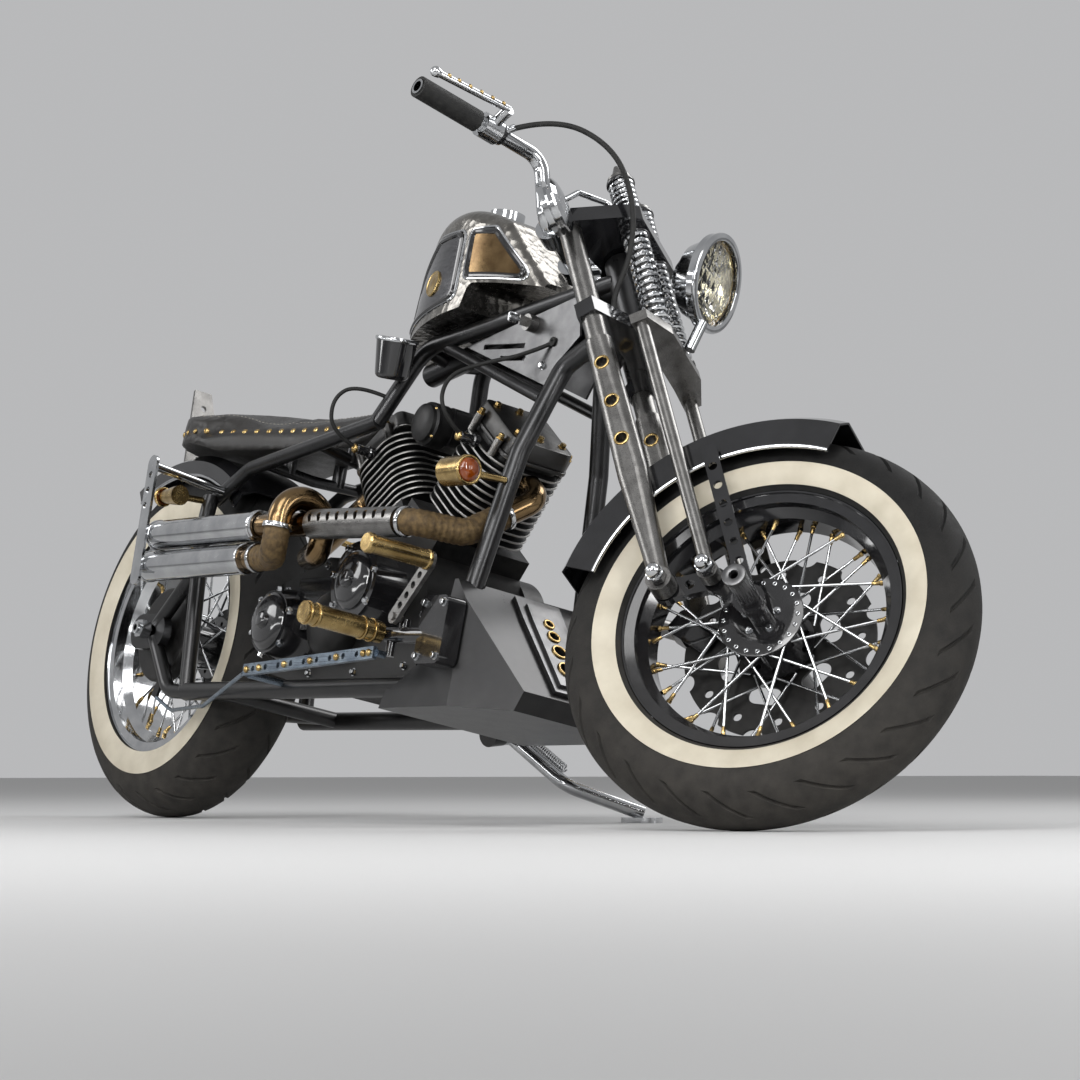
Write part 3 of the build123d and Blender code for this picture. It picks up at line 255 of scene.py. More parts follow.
def insideOf(mat):  # what a special finish builds on: its tree, shader, bump and own-frame vector
    kinds = {node.type: node for node in mat.node_tree.nodes}
    local = kinds["MAPPING"].outputs["Vector"]
    return mat.node_tree, kinds["BSDF_PRINCIPLED"], kinds["BUMP"], local


glass = {"ior": 1.48, "tint": (0.93, 0.94, 0.92, 1), "clear": (1, 1, 1, 1), "smooth": 0.02, "rough": 0.07,
         "flutes": 62, "bump": 0.5, "depth": 0.004}


def buildGlass():  # fluted headlamp glass
    mat = bpy.data.materials.new("lampGlass")
    mat.use_nodes = True
    tree = mat.node_tree
    local = localVector(tree, forkPlace)[1]
    cells = addNode(tree, "TexVoronoi", {
        "Scale": glass["flutes"], "Randomness": 0, "Vector": local}, distance="CHEBYCHEV")
    bump = addNode(tree, "Bump", {
        "Strength": glass["bump"], "Distance": glass["depth"], "Height": cells.outputs["Distance"]})
    grain = useGroup(tree, "surfaceGrain", {
        "Dark": glass["tint"], "Light": glass["clear"], "Smooth": glass["smooth"],
        "Rough": glass["rough"], "Vector": local})
    feed(tree, tree.nodes["Principled BSDF"], {
        "Transmission Weight": 1.0, "IOR": glass["ior"], "Normal": bump.outputs["Normal"],
        "Base Color": grain["Color"], "Roughness": grain["Roughness"]})
    return mat


# fins: cast black with the outer edges machined bright, and a greyer rocker cover
fins = {"crank": (0.765, 0, 0.4), "halfV": 35.0, "half": 0.078, "corner": 0.052, "rim": 0.0014,
        "coverFoot": 0.2872, "bright": (0.30, 0.295, 0.285, 1), "cover": (0.075, 0.074, 0.073, 1)}


def buildFinFinish():
    mat = newFinish("finBlack", looks["castBlack"], bikePlace @ shift(*fins["crank"]))
    tree, shader, bump, local = insideOf(mat)
    x, y, z = addNode(tree, "SeparateXYZ", {0: local}).outputs
    half = math.radians(fins["halfV"])
    ahead = mathStep(tree, "ABSOLUTE", x)
    along = mathStep(tree, "MULTIPLY", ahead, math.cos(half))
    risen = mathStep(tree, "MULTIPLY", z, math.sin(half))
    across = mathStep(tree, "ABSOLUTE", mathStep(tree, "SUBTRACT", along, risen))
    flat = fins["half"] - fins["corner"]
    squares = []
    for side in (across, mathStep(tree, "ABSOLUTE", y)):  # past the flat, squared
        past = mathStep(tree, "MAXIMUM", mathStep(tree, "SUBTRACT", side, flat), 0.0)
        squares.append(mathStep(tree, "MULTIPLY", past, past))
    reach = mathStep(tree, "SQRT", mathStep(tree, "ADD", *squares))
    edge = mathStep(tree, "GREATER_THAN", reach, fins["corner"] - fins["rim"])
    height = mathStep(tree, "ADD",
                      mathStep(tree, "MULTIPLY", ahead, math.sin(half)),
                      mathStep(tree, "MULTIPLY", z, math.cos(half)))
    cover = mathStep(tree, "GREATER_THAN", height, fins["coverFoot"])
    cast = shader.inputs["Base Color"].links[0].from_socket
    machined = mixColours(tree, edge, cast, fins["bright"])
    bare = mathStep(tree, "MAXIMUM", edge, cover)
    feed(tree, shader, {
        "Base Color": mixColours(tree, cover, machined, fins["cover"]),
        "Metallic": mathStep(tree, "MAXIMUM", bare, looks["castBlack"]["metal"])})
    return mat


# tank panels: dark brushed metal behind the split, bronze ahead of it
panels = {"split": 0.815, "along": 40, "across": 260, "dark": (0.05, 0.05, 0.054, 1), "light": (0.20, 0.20, 0.21, 1)}


def buildPanelFinish():
    mat = newFinish("tankPanel", looks["bronze"])
    tree, shader, bump, local = insideOf(mat)
    x = addNode(tree, "SeparateXYZ", {0: local}).outputs["X"]
    behind = mathStep(tree, "LESS_THAN", x, panels["split"])
    brush = useGroup(tree, "brushMarks", {
        "Along": panels["along"], "Across": panels["across"], "Vector": local})
    steel = mixColours(tree, brush["Mask"], panels["dark"], panels["light"])
    bronze = shader.inputs["Base Color"].links[0].from_socket
    feed(tree, shader, {"Base Color": mixColours(tree, behind, bronze, steel)})
    return mat


hide = {"dark": (0.006, 0.0055, 0.005), "light": (0.016, 0.014, 0.0125), "smooth": 0.3, "rough": 0.5,
        "grain": 26, "spec": 0.4, "pores": 420, "bump": 0.45, "depth": 0.0008, "sheen": 0.04}


def buildLeather():
    mat = newFinish("blackLeather", hide)
    tree, shader, bump, local = insideOf(mat)
    pores = addNode(tree, "TexVoronoi", {
        "Scale": hide["pores"], "Vector": local}, feature="DISTANCE_TO_EDGE")
    feed(tree, bump, {"Height": pores.outputs["Distance"]})
    feed(tree, shader, {"Sheen Weight": hide["sheen"]})
    return mat


finish["lampGlass"] = buildGlass()
finish["finBlack"] = buildFinFinish()
finish["tankPanel"] = buildPanelFinish()
finish["leather"] = buildLeather()

nodeFinish = {
    "rubber": ["front_tyre", "rear_tyre"],
    "blackGloss": ["front_rim", "front_hub", "front_fender", "fender_struts", "fork_clamps", "rear_fender",
                   "control_mounts", "front_caliper", "gauge", "rear_hub", "fork_rockers", "engine_covers",
                   "front_axle"],
    "chrome": ["rear_rim", "front_spokes", "rear_spokes", "fork_springs", "rear_axle", "headlamp_shell",
               "handlebar", "levers", "mirror", "mufflers", "exhaust_hanger", "side_stand", "tank_cap"],
    "satinSteel": ["fork_rigid_legs", "fork_spring_legs", "heat_shield", "sissy_bar", "foot_pedals",
                   "ignition_lock"],
    "gunmetal": ["main_frame", "swingarm", "chin_fairing"],
    "brass": ["footpegs", "turn_signals"],
    "bareAlloy": ["gusset_panels", "chin_panel"],
    "blueAlloy": ["control_links"],
    "castBlack": ["crankcase", "carburettor", "rear_drum_brake", "final_drive", "front_brake_disc"],
    "finBlack": ["cylinders", "cylinder_heads"],
    "leather": ["seat"],
    "gripRubber": ["grips", "control_cables"],
    "lampGlass": ["headlamp_lens"],
    "bronze": ["front_exhaust_pipe", "rear_exhaust_pipe"],
    "hammered": ["fuel_tank"],
    "tankPanel": ["tank_panels"],
}
for name, nodes in nodeFinish.items():
    for node in nodes:
        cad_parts[node].data.materials.clear()
        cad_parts[node].data.materials.append(finish[name])
slotOf = {  # the record's slot for each finish; settle looks it up for a new piece but stores it nowhere
    "brass": "brass", "chrome": "polished_steel", "lampSilver": "polished_steel", "satinSteel": "satin_steel",
    "bareAlloy": "bare_aluminium", "blackGloss": "black_paint", "dialFace": "black_paint",
    "castBlack": "engine_black", "finBlack": "engine_black", "gripRubber": "grip_rubber",
    "wrapCloth": "bronze_pipe", "amber": "lamp_glass", "leather": "black_leather", "seatThread": "black_leather",
}
print("finishes on the CAD nodes:", len(finish))


# modelling helpers
def deselect():
    bpy.ops.object.select_all(action="DESELECT")


def selectAll():
    bpy.ops.mesh.select_all(action="SELECT")


def take(obj):
    deselect()
    obj.select_set(True)
    bpy.context.view_layer.objects.active = obj


def edit(obj):
    take(obj)
    bpy.ops.object.mode_set(mode="EDIT")
    bpy.ops.mesh.select_all(action="DESELECT")


def leave():
    bpy.ops.object.mode_set(mode="OBJECT")


def closeUp():  # normals outwards, then out of edit mode
    selectAll()
    bpy.ops.mesh.normals_make_consistent(inside=False)
    leave()


def pick(obj, test):  # selects faces in edit mode by a test on them
    bpy.ops.mesh.select_mode(type="FACE")
    mesh = bmesh.from_edit_mesh(obj.data)
    for face in mesh.faces:
        face.select_set(bool(test(face)))
    bmesh.update_edit_mesh(obj.data)


def grow(step, scale):  # extrude what is selected along Z and resize it
    bpy.ops.mesh.extrude_region_move(TRANSFORM_OT_translate={"value": (0, 0, step)})
    bpy.ops.transform.resize(value=(scale, scale, 1))


def stretch(obj, x):  # widen or narrow a model along X
    edit(obj)
    selectAll()
    bpy.ops.transform.resize(value=(x, 1, 1))
    leave()


def chamfer(obj, offset, sharp=40):
    edit(obj)
    bpy.ops.mesh.select_mode(type="EDGE")
    bpy.ops.mesh.edges_select_sharp(sharpness=math.radians(sharp))
    bpy.ops.mesh.bevel(offset=offset, segments=2)
    leave()


def applyAll(obj):
    take(obj)
    for modifier in list(obj.modifiers):
        bpy.ops.object.modifier_apply(modifier=modifier.name)


def joinAll(objects):
    deselect()
    for obj in objects:
        obj.select_set(True)
    bpy.context.view_layer.objects.active = objects[0]
    if len(objects) > 1:
        bpy.ops.object.join()
    return bpy.context.object


def disc(radius, sides):  # flat start of most round pieces, left in edit mode
    deselect()
    bpy.ops.mesh.primitive_circle_add(vertices=sides, radius=radius, fill_type="NGON")
    obj = bpy.context.object
    edit(obj)
    selectAll()
    return obj


def ring(outer, inner, depth, bevel, sides=28):
    obj = disc(outer, sides)
    bpy.ops.mesh.inset(thickness=outer - inner)
    bpy.ops.mesh.delete(type="FACE")
    selectAll()
    bpy.ops.mesh.extrude_region_move(TRANSFORM_OT_translate={"value": (0, 0, depth)})
    closeUp()
    chamfer(obj, bevel)
    return obj


def dome(radius, steps, sides=20):  # disc drawn up through (rise, scale) steps
    obj = disc(radius, sides)
    for rise, scale in steps:
        grow(rise, scale)
    closeUp()
    return obj


def stud(radius, height):
    return dome(radius, ((height * 0.35, 1.0), (height * 0.35, 0.82), (height * 0.3, 0.42)), 14)


def bolt(radius, height):  # hex head on a washer with a raised middle
    washer = dome(radius * 1.35, ((height * 0.2, 1.0),), 18)
    deselect()
    bpy.ops.mesh.primitive_cylinder_add(vertices=6, radius=radius, depth=height, location=(0, 0, height * 0.7))
    head = bpy.context.object
    edit(head)
    pick(head, lambda face: face.normal.z > 0.9)
    bpy.ops.mesh.inset(thickness=radius * 0.22)
    bpy.ops.transform.translate(value=(0, 0, height * 0.18))
    leave()
    obj = joinAll([washer, head])
    bpy.ops.object.transform_apply(location=True, rotation=True, scale=True)
    return obj


def coil(radius, wire, pitch, turns):
    deselect()
    bpy.ops.mesh.primitive_circle_add(
        vertices=9, radius=wire, location=(radius, 0, 0), rotation=(math.radians(90), 0, 0))
    obj = bpy.context.object
    bpy.ops.object.transform_apply(location=True, rotation=True, scale=True)
    screw = obj.modifiers.new("wind", "SCREW")
    screw.screw_offset = pitch
    screw.iterations = turns
    screw.steps = screw.render_steps = 26
    applyAll(obj)
    edit(obj)
    selectAll()
    bpy.ops.mesh.remove_doubles(threshold=0.00002)
    bpy.ops.mesh.fill_holes(sides=12)
    closeUp()
    return obj


def plate(halfX, halfY, corner, low, high, soft, taper=1.0):  # block with round corners between two heights
    deselect()
    bpy.ops.mesh.primitive_plane_add(size=2, location=(0, 0, low))
    obj = bpy.context.object
    obj.scale = (halfX, halfY, 1)
    bpy.ops.object.transform_apply(location=True, rotation=False, scale=True)
    edit(obj)
    selectAll()
    bpy.ops.mesh.bevel(offset=corner, segments=10, affect="VERTICES")
    selectAll()
    grow(high - low, taper)
    closeUp()
    chamfer(obj, soft, 60)
    return obj


def copies(obj, places):  # one joined object from a model and its places
    made = []
    for place in places:
        other = obj.copy()
        other.data = obj.data.copy()
        other.data.transform(place)
        bpy.context.collection.objects.link(other)
        made.append(other)
    bpy.data.objects.remove(obj)
    return joinAll(made)


def settle(obj, name, look, body, place=None, slot=None, replaces=(), smooth=35):
    take(obj)
    if place is not None:
        obj.data.transform(place @ obj.matrix_world)
        obj.matrix_world = Matrix.Identity(4)
    obj.name = obj.data.name = name
    bpy.ops.object.shade_smooth_by_angle(angle=math.radians(smooth))
    if look:
        obj.data.materials.clear()
        obj.data.materials.append(finish[look])
    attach(obj, body)
    slot = slot or slotOf.get(look)
    if replaces:
        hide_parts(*replaces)


def facing(spot, side):  # place for a piece whose Z looks out to the left (+1) or right (-1)
    return Matrix.Translation(spot) @ turn(-90 * side, "X")


def looking(spot, way):  # place for a piece whose Z looks along a direction
    return Matrix.Translation(spot) @ Vector(way).to_track_quat("Z", "Y").to_matrix().to_4x4()


def around(count, start=0.0):  # directions set evenly round a circle
    angles = [2 * math.pi * (index + start) / count for index in range(count)]
    return [(math.cos(angle), math.sin(angle)) for angle in angles]


# tyres: round crowns with sunk grooves and raised cream walls
tyres = {
    "front": dict(radius=0.320, crown=0.062, place=frontPlace, body="front_wheel", inner=0.2165),
    "rear": dict(radius=0.323, crown=0.075, place=rearPlace, body="rear_wheel", inner=0.2165),
}
tread = {"rounds": 156, "around": 44, "every": 6, "twist": 0.30, "twistEnd": 66,  # angles in degrees
         "grooves": (14, 58), "grooveEdge": 0.0042, "ribs": (6, 11), "ribEdge": 0.0025, "depth": 0.004,
         "wall": (0.2215, 0.2545), "wallTilt": 0.3, "wallRise": 0.0012}


def makeTyre(name, size):
    crownLine = size["radius"] - size["crown"]
    deselect()
    bpy.ops.mesh.primitive_torus_add(
        major_segments=tread["rounds"], minor_segments=tread["around"], major_radius=crownLine,
        minor_radius=size["crown"], rotation=(math.radians(90), 0, 0))
    obj = bpy.context.object
    bpy.ops.object.transform_apply(location=True, rotation=True, scale=True)
    edit(obj)

    def leanOf(spot):  # degrees round the tyre's section, 0 at the crown
        return math.degrees(math.atan2(spot.y, math.hypot(spot.x, spot.z) - crownLine))

    def groove(face):
        spot = face.calc_center_median()
        index = round(math.atan2(spot.z, spot.x) * tread["rounds"] / (2 * math.pi) - 0.5)
        lean = leanOf(spot)
        low, high = tread["grooves"]
        turnOf = 0 if lean > 0 else tread["every"] // 2  # the two sides stand half a step apart
        return low < abs(lean) < high and index % tread["every"] == turnOf

    def rib(face):
        low, high = tread["ribs"]
        return low < abs(leanOf(face.calc_center_median())) < high

    def wall(face):
        spot = face.calc_center_median()
        low, high = tread["wall"]
        return low < math.hypot(spot.x, spot.z) < high and abs(face.normal.y) > tread["wallTilt"]

    for test, rim in ((groove, tread["grooveEdge"]), (rib, tread["ribEdge"])):
        pick(obj, test)
        bpy.ops.mesh.inset(thickness=rim)
        bpy.ops.transform.shrink_fatten(value=-tread["depth"])
    pick(obj, wall)
    bpy.ops.mesh.extrude_region_shrink_fatten(TRANSFORM_OT_shrink_fatten={"value": tread["wallRise"]})
    obj.data.materials.append(finish["rubber"])
    obj.data.materials.append(finish["creamWall"])
    obj.active_material_index = 1
    bpy.ops.object.material_slot_assign()
    leave()
    for vert in obj.data.vertices:  # grooves swept back, and flat where it sits in the rim
        vert.co = turn(tread["twist"] * min(abs(leanOf(vert.co)), tread["twistEnd"]), "Y") @ vert.co
        reach = math.hypot(vert.co.x, vert.co.z)
        if reach < size["inner"]:
            vert.co.x *= size["inner"] / reach
            vert.co.z *= size["inner"] / reach
    settle(obj, name + "TyreDressed", None, size["body"], size["place"], "tyre_rubber", [name + "_tyre"], 30)


for name, size in tyres.items():
    makeTyre(name, size)
print("tyres")

# spoke nipples and hub fittings, on the same lacing as the spokes
lacing = {"sets": 10, "lace": 40.0, "rows": ((-1, 1, 0), (-1, -1, 18), (1, 1, 9), (1, -1, 27)),
          "flange": (0.0604, 0.036, 0.003), "bed": (0.1829, 0.010, 0.004),  # reach, side, stagger
          "nipple": (0.0042, ((0.004, 1.0), (0.001, 0.8), (0.010, 0.92), (0.002, 0.7)), 10)}
hub = {"bolt": (0.0045, 0.004), "bolts": 5, "boltReach": 0.026, "boltFace": 0.0452,
       "flange": (0.066, 0.0195, 0.0034, 0.0012, 48), "flangeFace": 0.0415,
       "eyelet": (0.0036, 0.0018, 0.0016, 0.0004, 14), "eyelets": 20, "eyeletReach": 0.0575, "eyeletFace": 0.0448}


def nipplePlaces():
    places = []
    for index in range(lacing["sets"]):
        for side, lace, step in lacing["rows"]:
            outer = index * 360 / lacing["sets"] + step
            ends = []
            for angle, (reach, out, stagger) in ((outer - lace * lacing["lace"], lacing["flange"]),
                                                 (outer, lacing["bed"])):
                ends.append(turn(angle, "Y") @ Vector((reach, side * (out + lace * stagger), 0)))
            places.append(looking(ends[1], ends[0] - ends[1]))
    return places


for name, size in tyres.items():
    settle(copies(dome(*lacing["nipple"]), nipplePlaces()), name + "SpokeNipples", "brass", size["body"], size["place"])
    places = [facing((hub["boltReach"] * x, side * hub["boltFace"], hub["boltReach"] * z), side)
              for x, z in around(hub["bolts"]) for side in bothWays]
    settle(copies(bolt(*hub["bolt"]), places), name + "HubBolts", "chrome", size["body"], size["place"])
settle(ring(*hub["flange"]), "frontHubFlange", "blackGloss", "front_wheel",
       frontPlace @ facing((0, -hub["flangeFace"], 0), -1))
places = [facing((hub["eyeletReach"] * x, -hub["eyeletFace"], hub["eyeletReach"] * z), -1)
          for x, z in around(hub["eyelets"])]
settle(copies(ring(*hub["eyelet"]), places), "frontHubEyelets", "chrome", "front_wheel", frontPlace)
print("wheel fittings")

# springer fork: wound springs, cups, grommets and acorn nuts
fork = {"stack": (0.040, 0.045), "radius": 0.0175, "wire": 0.0042,
        "springs": ((0.9045, 1.1165, 14), (1.1495, 1.2325, 7)),  # foot, top, turns
        "cup": (0.0235, 0.0095, 0.006, 0.0012), "cups": (0.9025, 1.113, 1.1475, 1.2305),
        "leg": (-0.046, 0.112), "legHoles": ((0.680, 0.0164), (0.755, 0.0168), (0.832, 0.0173)), "sink": 0.0012,
        "grommet": (0.0125, 0.0085, 0.0035, 0.0013),
        "acorn": (0.0135, ((0.003, 1.0), (0.001, 0.86), (0.006, 1.0), (0.005, 0.86), (0.003, 0.6), (0.0012, 0.4)), 18),
        "acorns": ((-0.046, 0.140, 0.412), (0.027, 0.136, 0.398)),
        "axleCap": (0.0185, 0.007, 0.006, 0.0018), "axleFace": 0.1635,
        "bolt": (0.006, 0.006), "bolts": ((-0.046, -0.112, 1.1535), (-0.046, 0.112, 1.1535), (0.0, 0.0, 1.1635))}
stackX, stackY = fork["stack"]
springParts = []
for low, high, turns in fork["springs"]:
    one = coil(fork["radius"], fork["wire"], (high - low - 2 * fork["wire"]) / turns, turns)
    springParts.append(copies(one, [shift(stackX, side * stackY, low + fork["wire"]) for side in bothWays]))
settle(joinAll(springParts), "woundSprings", "chrome", "fork", forkPlace, replaces=["fork_springs"])
places = [shift(stackX, side * stackY, z) for side in bothWays for z in fork["cups"]]
settle(copies(ring(*fork["cup"]), places), "springCups", "blackGloss", "fork", forkPlace)
legX, legY = fork["leg"]
places = []
for z, thick in fork["legHoles"]:
    for side in bothWays:
        for face in bothWays:
            places.append(facing((legX, side * legY + face * (thick - fork["sink"]), z), face))
settle(copies(ring(*fork["grommet"]), places), "legGrommets", "brass", "fork", forkPlace)
places = [facing((x, side * y, z), side) for x, y, z in fork["acorns"] for side in bothWays]
settle(copies(dome(*fork["acorn"]), places), "rockerAcorns", "chrome", "fork", forkPlace)
axle = Vector(stance["frontAxle"])
places = [facing(axle + Vector((0, side * fork["axleFace"], 0)), side) for side in bothWays]
settle(copies(ring(*fork["axleCap"]), places), "axleCaps", "bareAlloy", "fork", forkPlace)
places = [shift(*spot) for spot in fork["bolts"]]
settle(copies(bolt(*fork["bolt"]), places), "topClampBolts", "chrome", "fork", forkPlace)
print("springer fork")

# headlamp: reflector bowl, bulb and bezel, along the lamp's own axis
lamp = {"spot": (0.131, 0, 1.007), "wall": 0.001, "bowlRim": 0.03,
        "bowl": (0.026, ((0.0, 1.0), (0.010, 1.45), (0.010, 1.32), (0.010, 1.15), (0.008, 1.05)), 36),
        "bowlAt": -0.0385,
        "bulb": (0.012, ((0.012, 1.0), (0.006, 0.85), (0.004, 0.6), (0.002, 0.4)), 20), "bulbAt": -0.038,
        "bezel": (0.0805, 0.0675, 0.007, 0.0025, 56), "bezelAt": 0.006,
        "inner": (0.0685, 0.0600, 0.004, 0.0012, 56), "innerAt": -0.0045}
lampPlace = forkPlace @ Matrix.Translation(lamp["spot"]) @ turn(90 + stance["rake"], "Y")
bowl = dome(*lamp["bowl"])
edit(bowl)
pick(bowl, lambda face: len(face.verts) > 8 and face.calc_center_median().z > lamp["bowlRim"])
bpy.ops.mesh.delete(type="FACE")
leave()
wallMod = bowl.modifiers.new("wall", "SOLIDIFY")
wallMod.thickness = lamp["wall"]
applyAll(bowl)
settle(bowl, "lampReflector", "lampSilver", "fork", lampPlace @ shift(0, 0, lamp["bowlAt"]))
settle(dome(*lamp["bulb"]), "lampBulb", "chrome", "fork", lampPlace @ shift(0, 0, lamp["bulbAt"]))
settle(ring(*lamp["bezel"]), "lampBezel", "chrome", "fork", lampPlace @ shift(0, 0, lamp["bezelAt"]))
settle(ring(*lamp["inner"]), "lampInnerRing", "brass", "fork", lampPlace @ shift(0, 0, lamp["innerAt"]))
print("headlamp")

# handlebar: cable stop on the bar and gold studs along the lever blades
bar = {"spot": Vector((-0.1019, -0.196, 1.2977)), "way": Vector((-0.114, -0.240, 0.022)).normalized(),
       "end": Vector((-0.176, -0.352, 1.312)), "hold": 0.152,
       "clamp": (0.0172, 0.0125, 0.014, 0.0015, 28), "clampBack": 0.007,
       "ferrule": (0.0078, ((0.006, 1.0), (0.001, 0.8), (0.008, 1.0), (0.002, 0.9)), 16),
       "ferruleAt": (-0.0895, -0.196, 1.2972),
       "bladeFoot": Vector((0.044, -0.022, 0)), "bladeTip": Vector((0.036, -0.018, 0)), "tipBack": 0.012,
       "stud": (0.0045, 0.0035), "studs": (0.12, 0.28, 0.44, 0.60, 0.76, 0.90), "bladeFace": 0.0052,
       "ball": (0.0075, ((0.005, 1.15), (0.005, 1.0), (0.004, 0.7), (0.002, 0.5)), 18)}
settle(ring(*bar["clamp"]), "cableClamp", "blackGloss", "fork",
       forkPlace @ looking(bar["spot"] - bar["way"] * bar["clampBack"], bar["way"]))
settle(dome(*bar["ferrule"]), "cableFerrule", "chrome", "fork", forkPlace @ looking(bar["ferruleAt"], (1, 0, 0)))
bladeFoot = bar["end"] - bar["way"] * bar["hold"] + bar["bladeFoot"]
bladeTip = bar["end"] - bar["way"] * bar["tipBack"] + bar["bladeTip"]
studPlaces, ballPlaces = [], []
for side in (1, -1):
    mirrored = Matrix.Diagonal((1, side, 1))
    for share in bar["studs"]:
        spot = mirrored @ bladeFoot.lerp(bladeTip, share) + Vector((bar["bladeFace"], 0, 0))
        studPlaces.append(looking(spot, (1, 0, 0)))
    ballPlaces.append(looking(mirrored @ bladeTip, mirrored @ bar["way"]))
settle(copies(stud(*bar["stud"]), studPlaces), "leverStuds", "brass", "fork", forkPlace)
settle(copies(dome(*bar["ball"]), ballPlaces), "leverBalls", "chrome", "fork", forkPlace)
print("handlebar")


# fittings below are set on the CAD surfaces by casting at them
def surfaceSpot(node, place, spot, way):
    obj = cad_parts[node] if isinstance(node, str) else node
    back = obj.matrix_world.inverted()
    start = back @ (place @ Vector(spot))
    heading = (back.to_3x3() @ (place.to_3x3() @ Vector(way))).normalized()
    found, point, normal, face = obj.ray_cast(start, heading)
    if not found:
        return None
    return obj.matrix_world @ point, (obj.matrix_world.to_3x3() @ normal).normalized()


def onSurface(node, place, spots, way, sink=0.0):
    places = []
    for spot in spots:
        found = surfaceSpot(node, place, spot, way)
        if found:
            places.append(looking(found[0] - found[1] * sink, found[1]))
    return places


def onBothSides(node, spots, sink=0.0):  # from well out on each side, straight in
    places = []
    for side in bothWays:
        places += onSurface(node, bikePlace, [(x, side * 0.3, z) for x, z in spots], (0, -side, 0), sink)
    return places


def onRight(node, spots):
    return onSurface(node, bikePlace, [(x, -0.4, z) for x, z in spots], (0, 1, 0))


def roundedWay(points, radii, step):  # straight runs and tangent arcs through corner points
    points = [Vector(p) for p in points]
    way = [points[0]]
    for before, corner, after, radius in zip(points, points[1:], points[2:], radii):
        inward = (before - corner).normalized()
        outward = (after - corner).normalized()
        half = inward.angle(outward) / 2
        setback = radius / math.tan(half)
        centre = corner + (inward + outward).normalized() * radius / math.sin(half)
        first = corner + inward * setback - centre
        last = corner + outward * setback - centre
        sweep = first.angle(last)
        axis = first.cross(last)
        count = max(2, round(sweep * radius / step))
        for index in range(count + 1):
            way.append(centre + Matrix.Rotation(sweep * index / count, 3, axis) @ first)
    way.append(points[-1])
    even = [way[0]]
    for target in way[1:]:
        gap = (target - even[-1]).length
        start = even[-1]
        for index in range(1, round(gap / step) + 1):
            even.append(start.lerp(target, index * step / gap) if index * step < gap else target)
    return even


def newCurve(name, kind, points):
    curve = bpy.data.curves.new(name, "CURVE")
    curve.dimensions = "3D"
    spline = curve.splines.new(kind)
    spline.points.add(len(points) - 1)
    for point, spot in zip(spline.points, points):
        point.co = (*spot, 1)
    obj = bpy.data.objects.new(name, curve)
    bpy.context.collection.objects.link(obj)
    return obj, curve, spline


def thicken(curve, radius, sides):
    curve.bevel_depth = radius
    curve.bevel_resolution = sides
    curve.use_fill_caps = True


def tubeOn(points, radius, ribs=None, closed=False, sides=3):  # round bead or ribbed wrap along points
    obj, curve, spline = newCurve("way", "POLY", points)
    thicken(curve, radius, sides)
    spline.use_cyclic_u = closed
    if ribs:
        for point in list(spline.points)[::ribs]:
            point.radius = 0.945
    take(obj)
    bpy.ops.object.convert(target="MESH")
    return bpy.context.object


def flexOn(way, radius, name, body, replaces=()):  # free cord on a smooth NURBS line
    flex, curve, spline = newCurve(name, "NURBS", way)
    spline.order_u = 3
    spline.use_endpoint_u = True
    line = bpy.data.meshes.new_from_object(flex)  # bare line, made and then removed unused
    bpy.data.meshes.remove(line)
    thicken(curve, radius, 4)
    curve.materials.append(finish["gripRubber"])
    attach(flex, body)
    if replaces:
        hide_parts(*replaces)


# control cable: from the bar's ferrule down past the spring to the lower clamp
cable = {"radius": 0.0045,
         "way": ((-0.078, -0.196, 1.296), (-0.0075, -0.173, 1.304), (0.060, -0.130, 1.239), (0.069, -0.118, 1.132),
                 (0.037, -0.098, 1.037), (-0.018, -0.077, 0.985), (-0.018, -0.072, 0.959))}
flexOn([forkPlace @ Vector(point) for point in cable["way"]], cable["radius"],
       "controlCable", "fork", ["control_cables"])
print("control cable")

# tank: chrome and black beads round the panels, gold discs, cap ring
tank = {"rear": ((0.612, 0.838), (0.802, 0.876), (0.790, 0.984), (0.716, 0.978), (0.640, 0.920)),
        "front": ((0.838, 0.912), (0.944, 0.908), (0.926, 0.930), (0.876, 0.980), (0.828, 0.984)),
        "corner": {"rear": 0.016, "front": 0.008}, "step": 0.006, "castFrom": 0.2,
        "beads": {"blackGloss": (0.006, 0.0056), "chrome": (0.015, 0.0028)},  # how far out, radius
        "emblem": (0.023, ((0.003, 1.0), (0.0015, 0.92), (-0.0012, 0.86), (0.0018, 0.5)), 30),
        "emblemAt": (0.735, 0.905), "emblemSink": 0.001,
        "capRing": (0.030, 0.024, 0.006, 0.0015, 32), "capAt": (0.774, 0, 1.0345)}


def panelRing(outline, corner, grown):  # a panel's outline, grown and with round corners
    middle = Vector((sum(p[0] for p in outline), sum(p[1] for p in outline))) / len(outline)
    points = []
    for p in outline:
        away = Vector(p) - middle
        points.append(Vector((*(middle + away * (1 + grown / away.length)), 0)))
    start = (points[0] + points[-1]) / 2
    return roundedWay([start] + points + [start], [corner] * len(points), tank["step"])


for side, where in zip(bothWays, ("Right", "Left")):
    for name in ("rear", "front"):
        for look, (grown, radius) in tank["beads"].items():
            points = []
            for p in panelRing(tank[name], tank["corner"][name], grown):
                found = surfaceSpot("fuel_tank", bikePlace, (p.x, side * tank["castFrom"], p.y), (0, -side, 0))
                if found:
                    points.append(found[0])
            bead = tubeOn(points[:-1], radius, closed=True)
            settle(bead, name + "Panel" + where + look.capitalize() + "Bead", look, "frame")
places = onBothSides("tank_panels", [tank["emblemAt"]], tank["emblemSink"])
settle(copies(dome(*tank["emblem"]), places), "tankEmblems", "brass", "frame")
settle(ring(*tank["capRing"]), "capRing", "chrome", "frame", bikePlace @ shift(*tank["capAt"]))
print("tank trim")

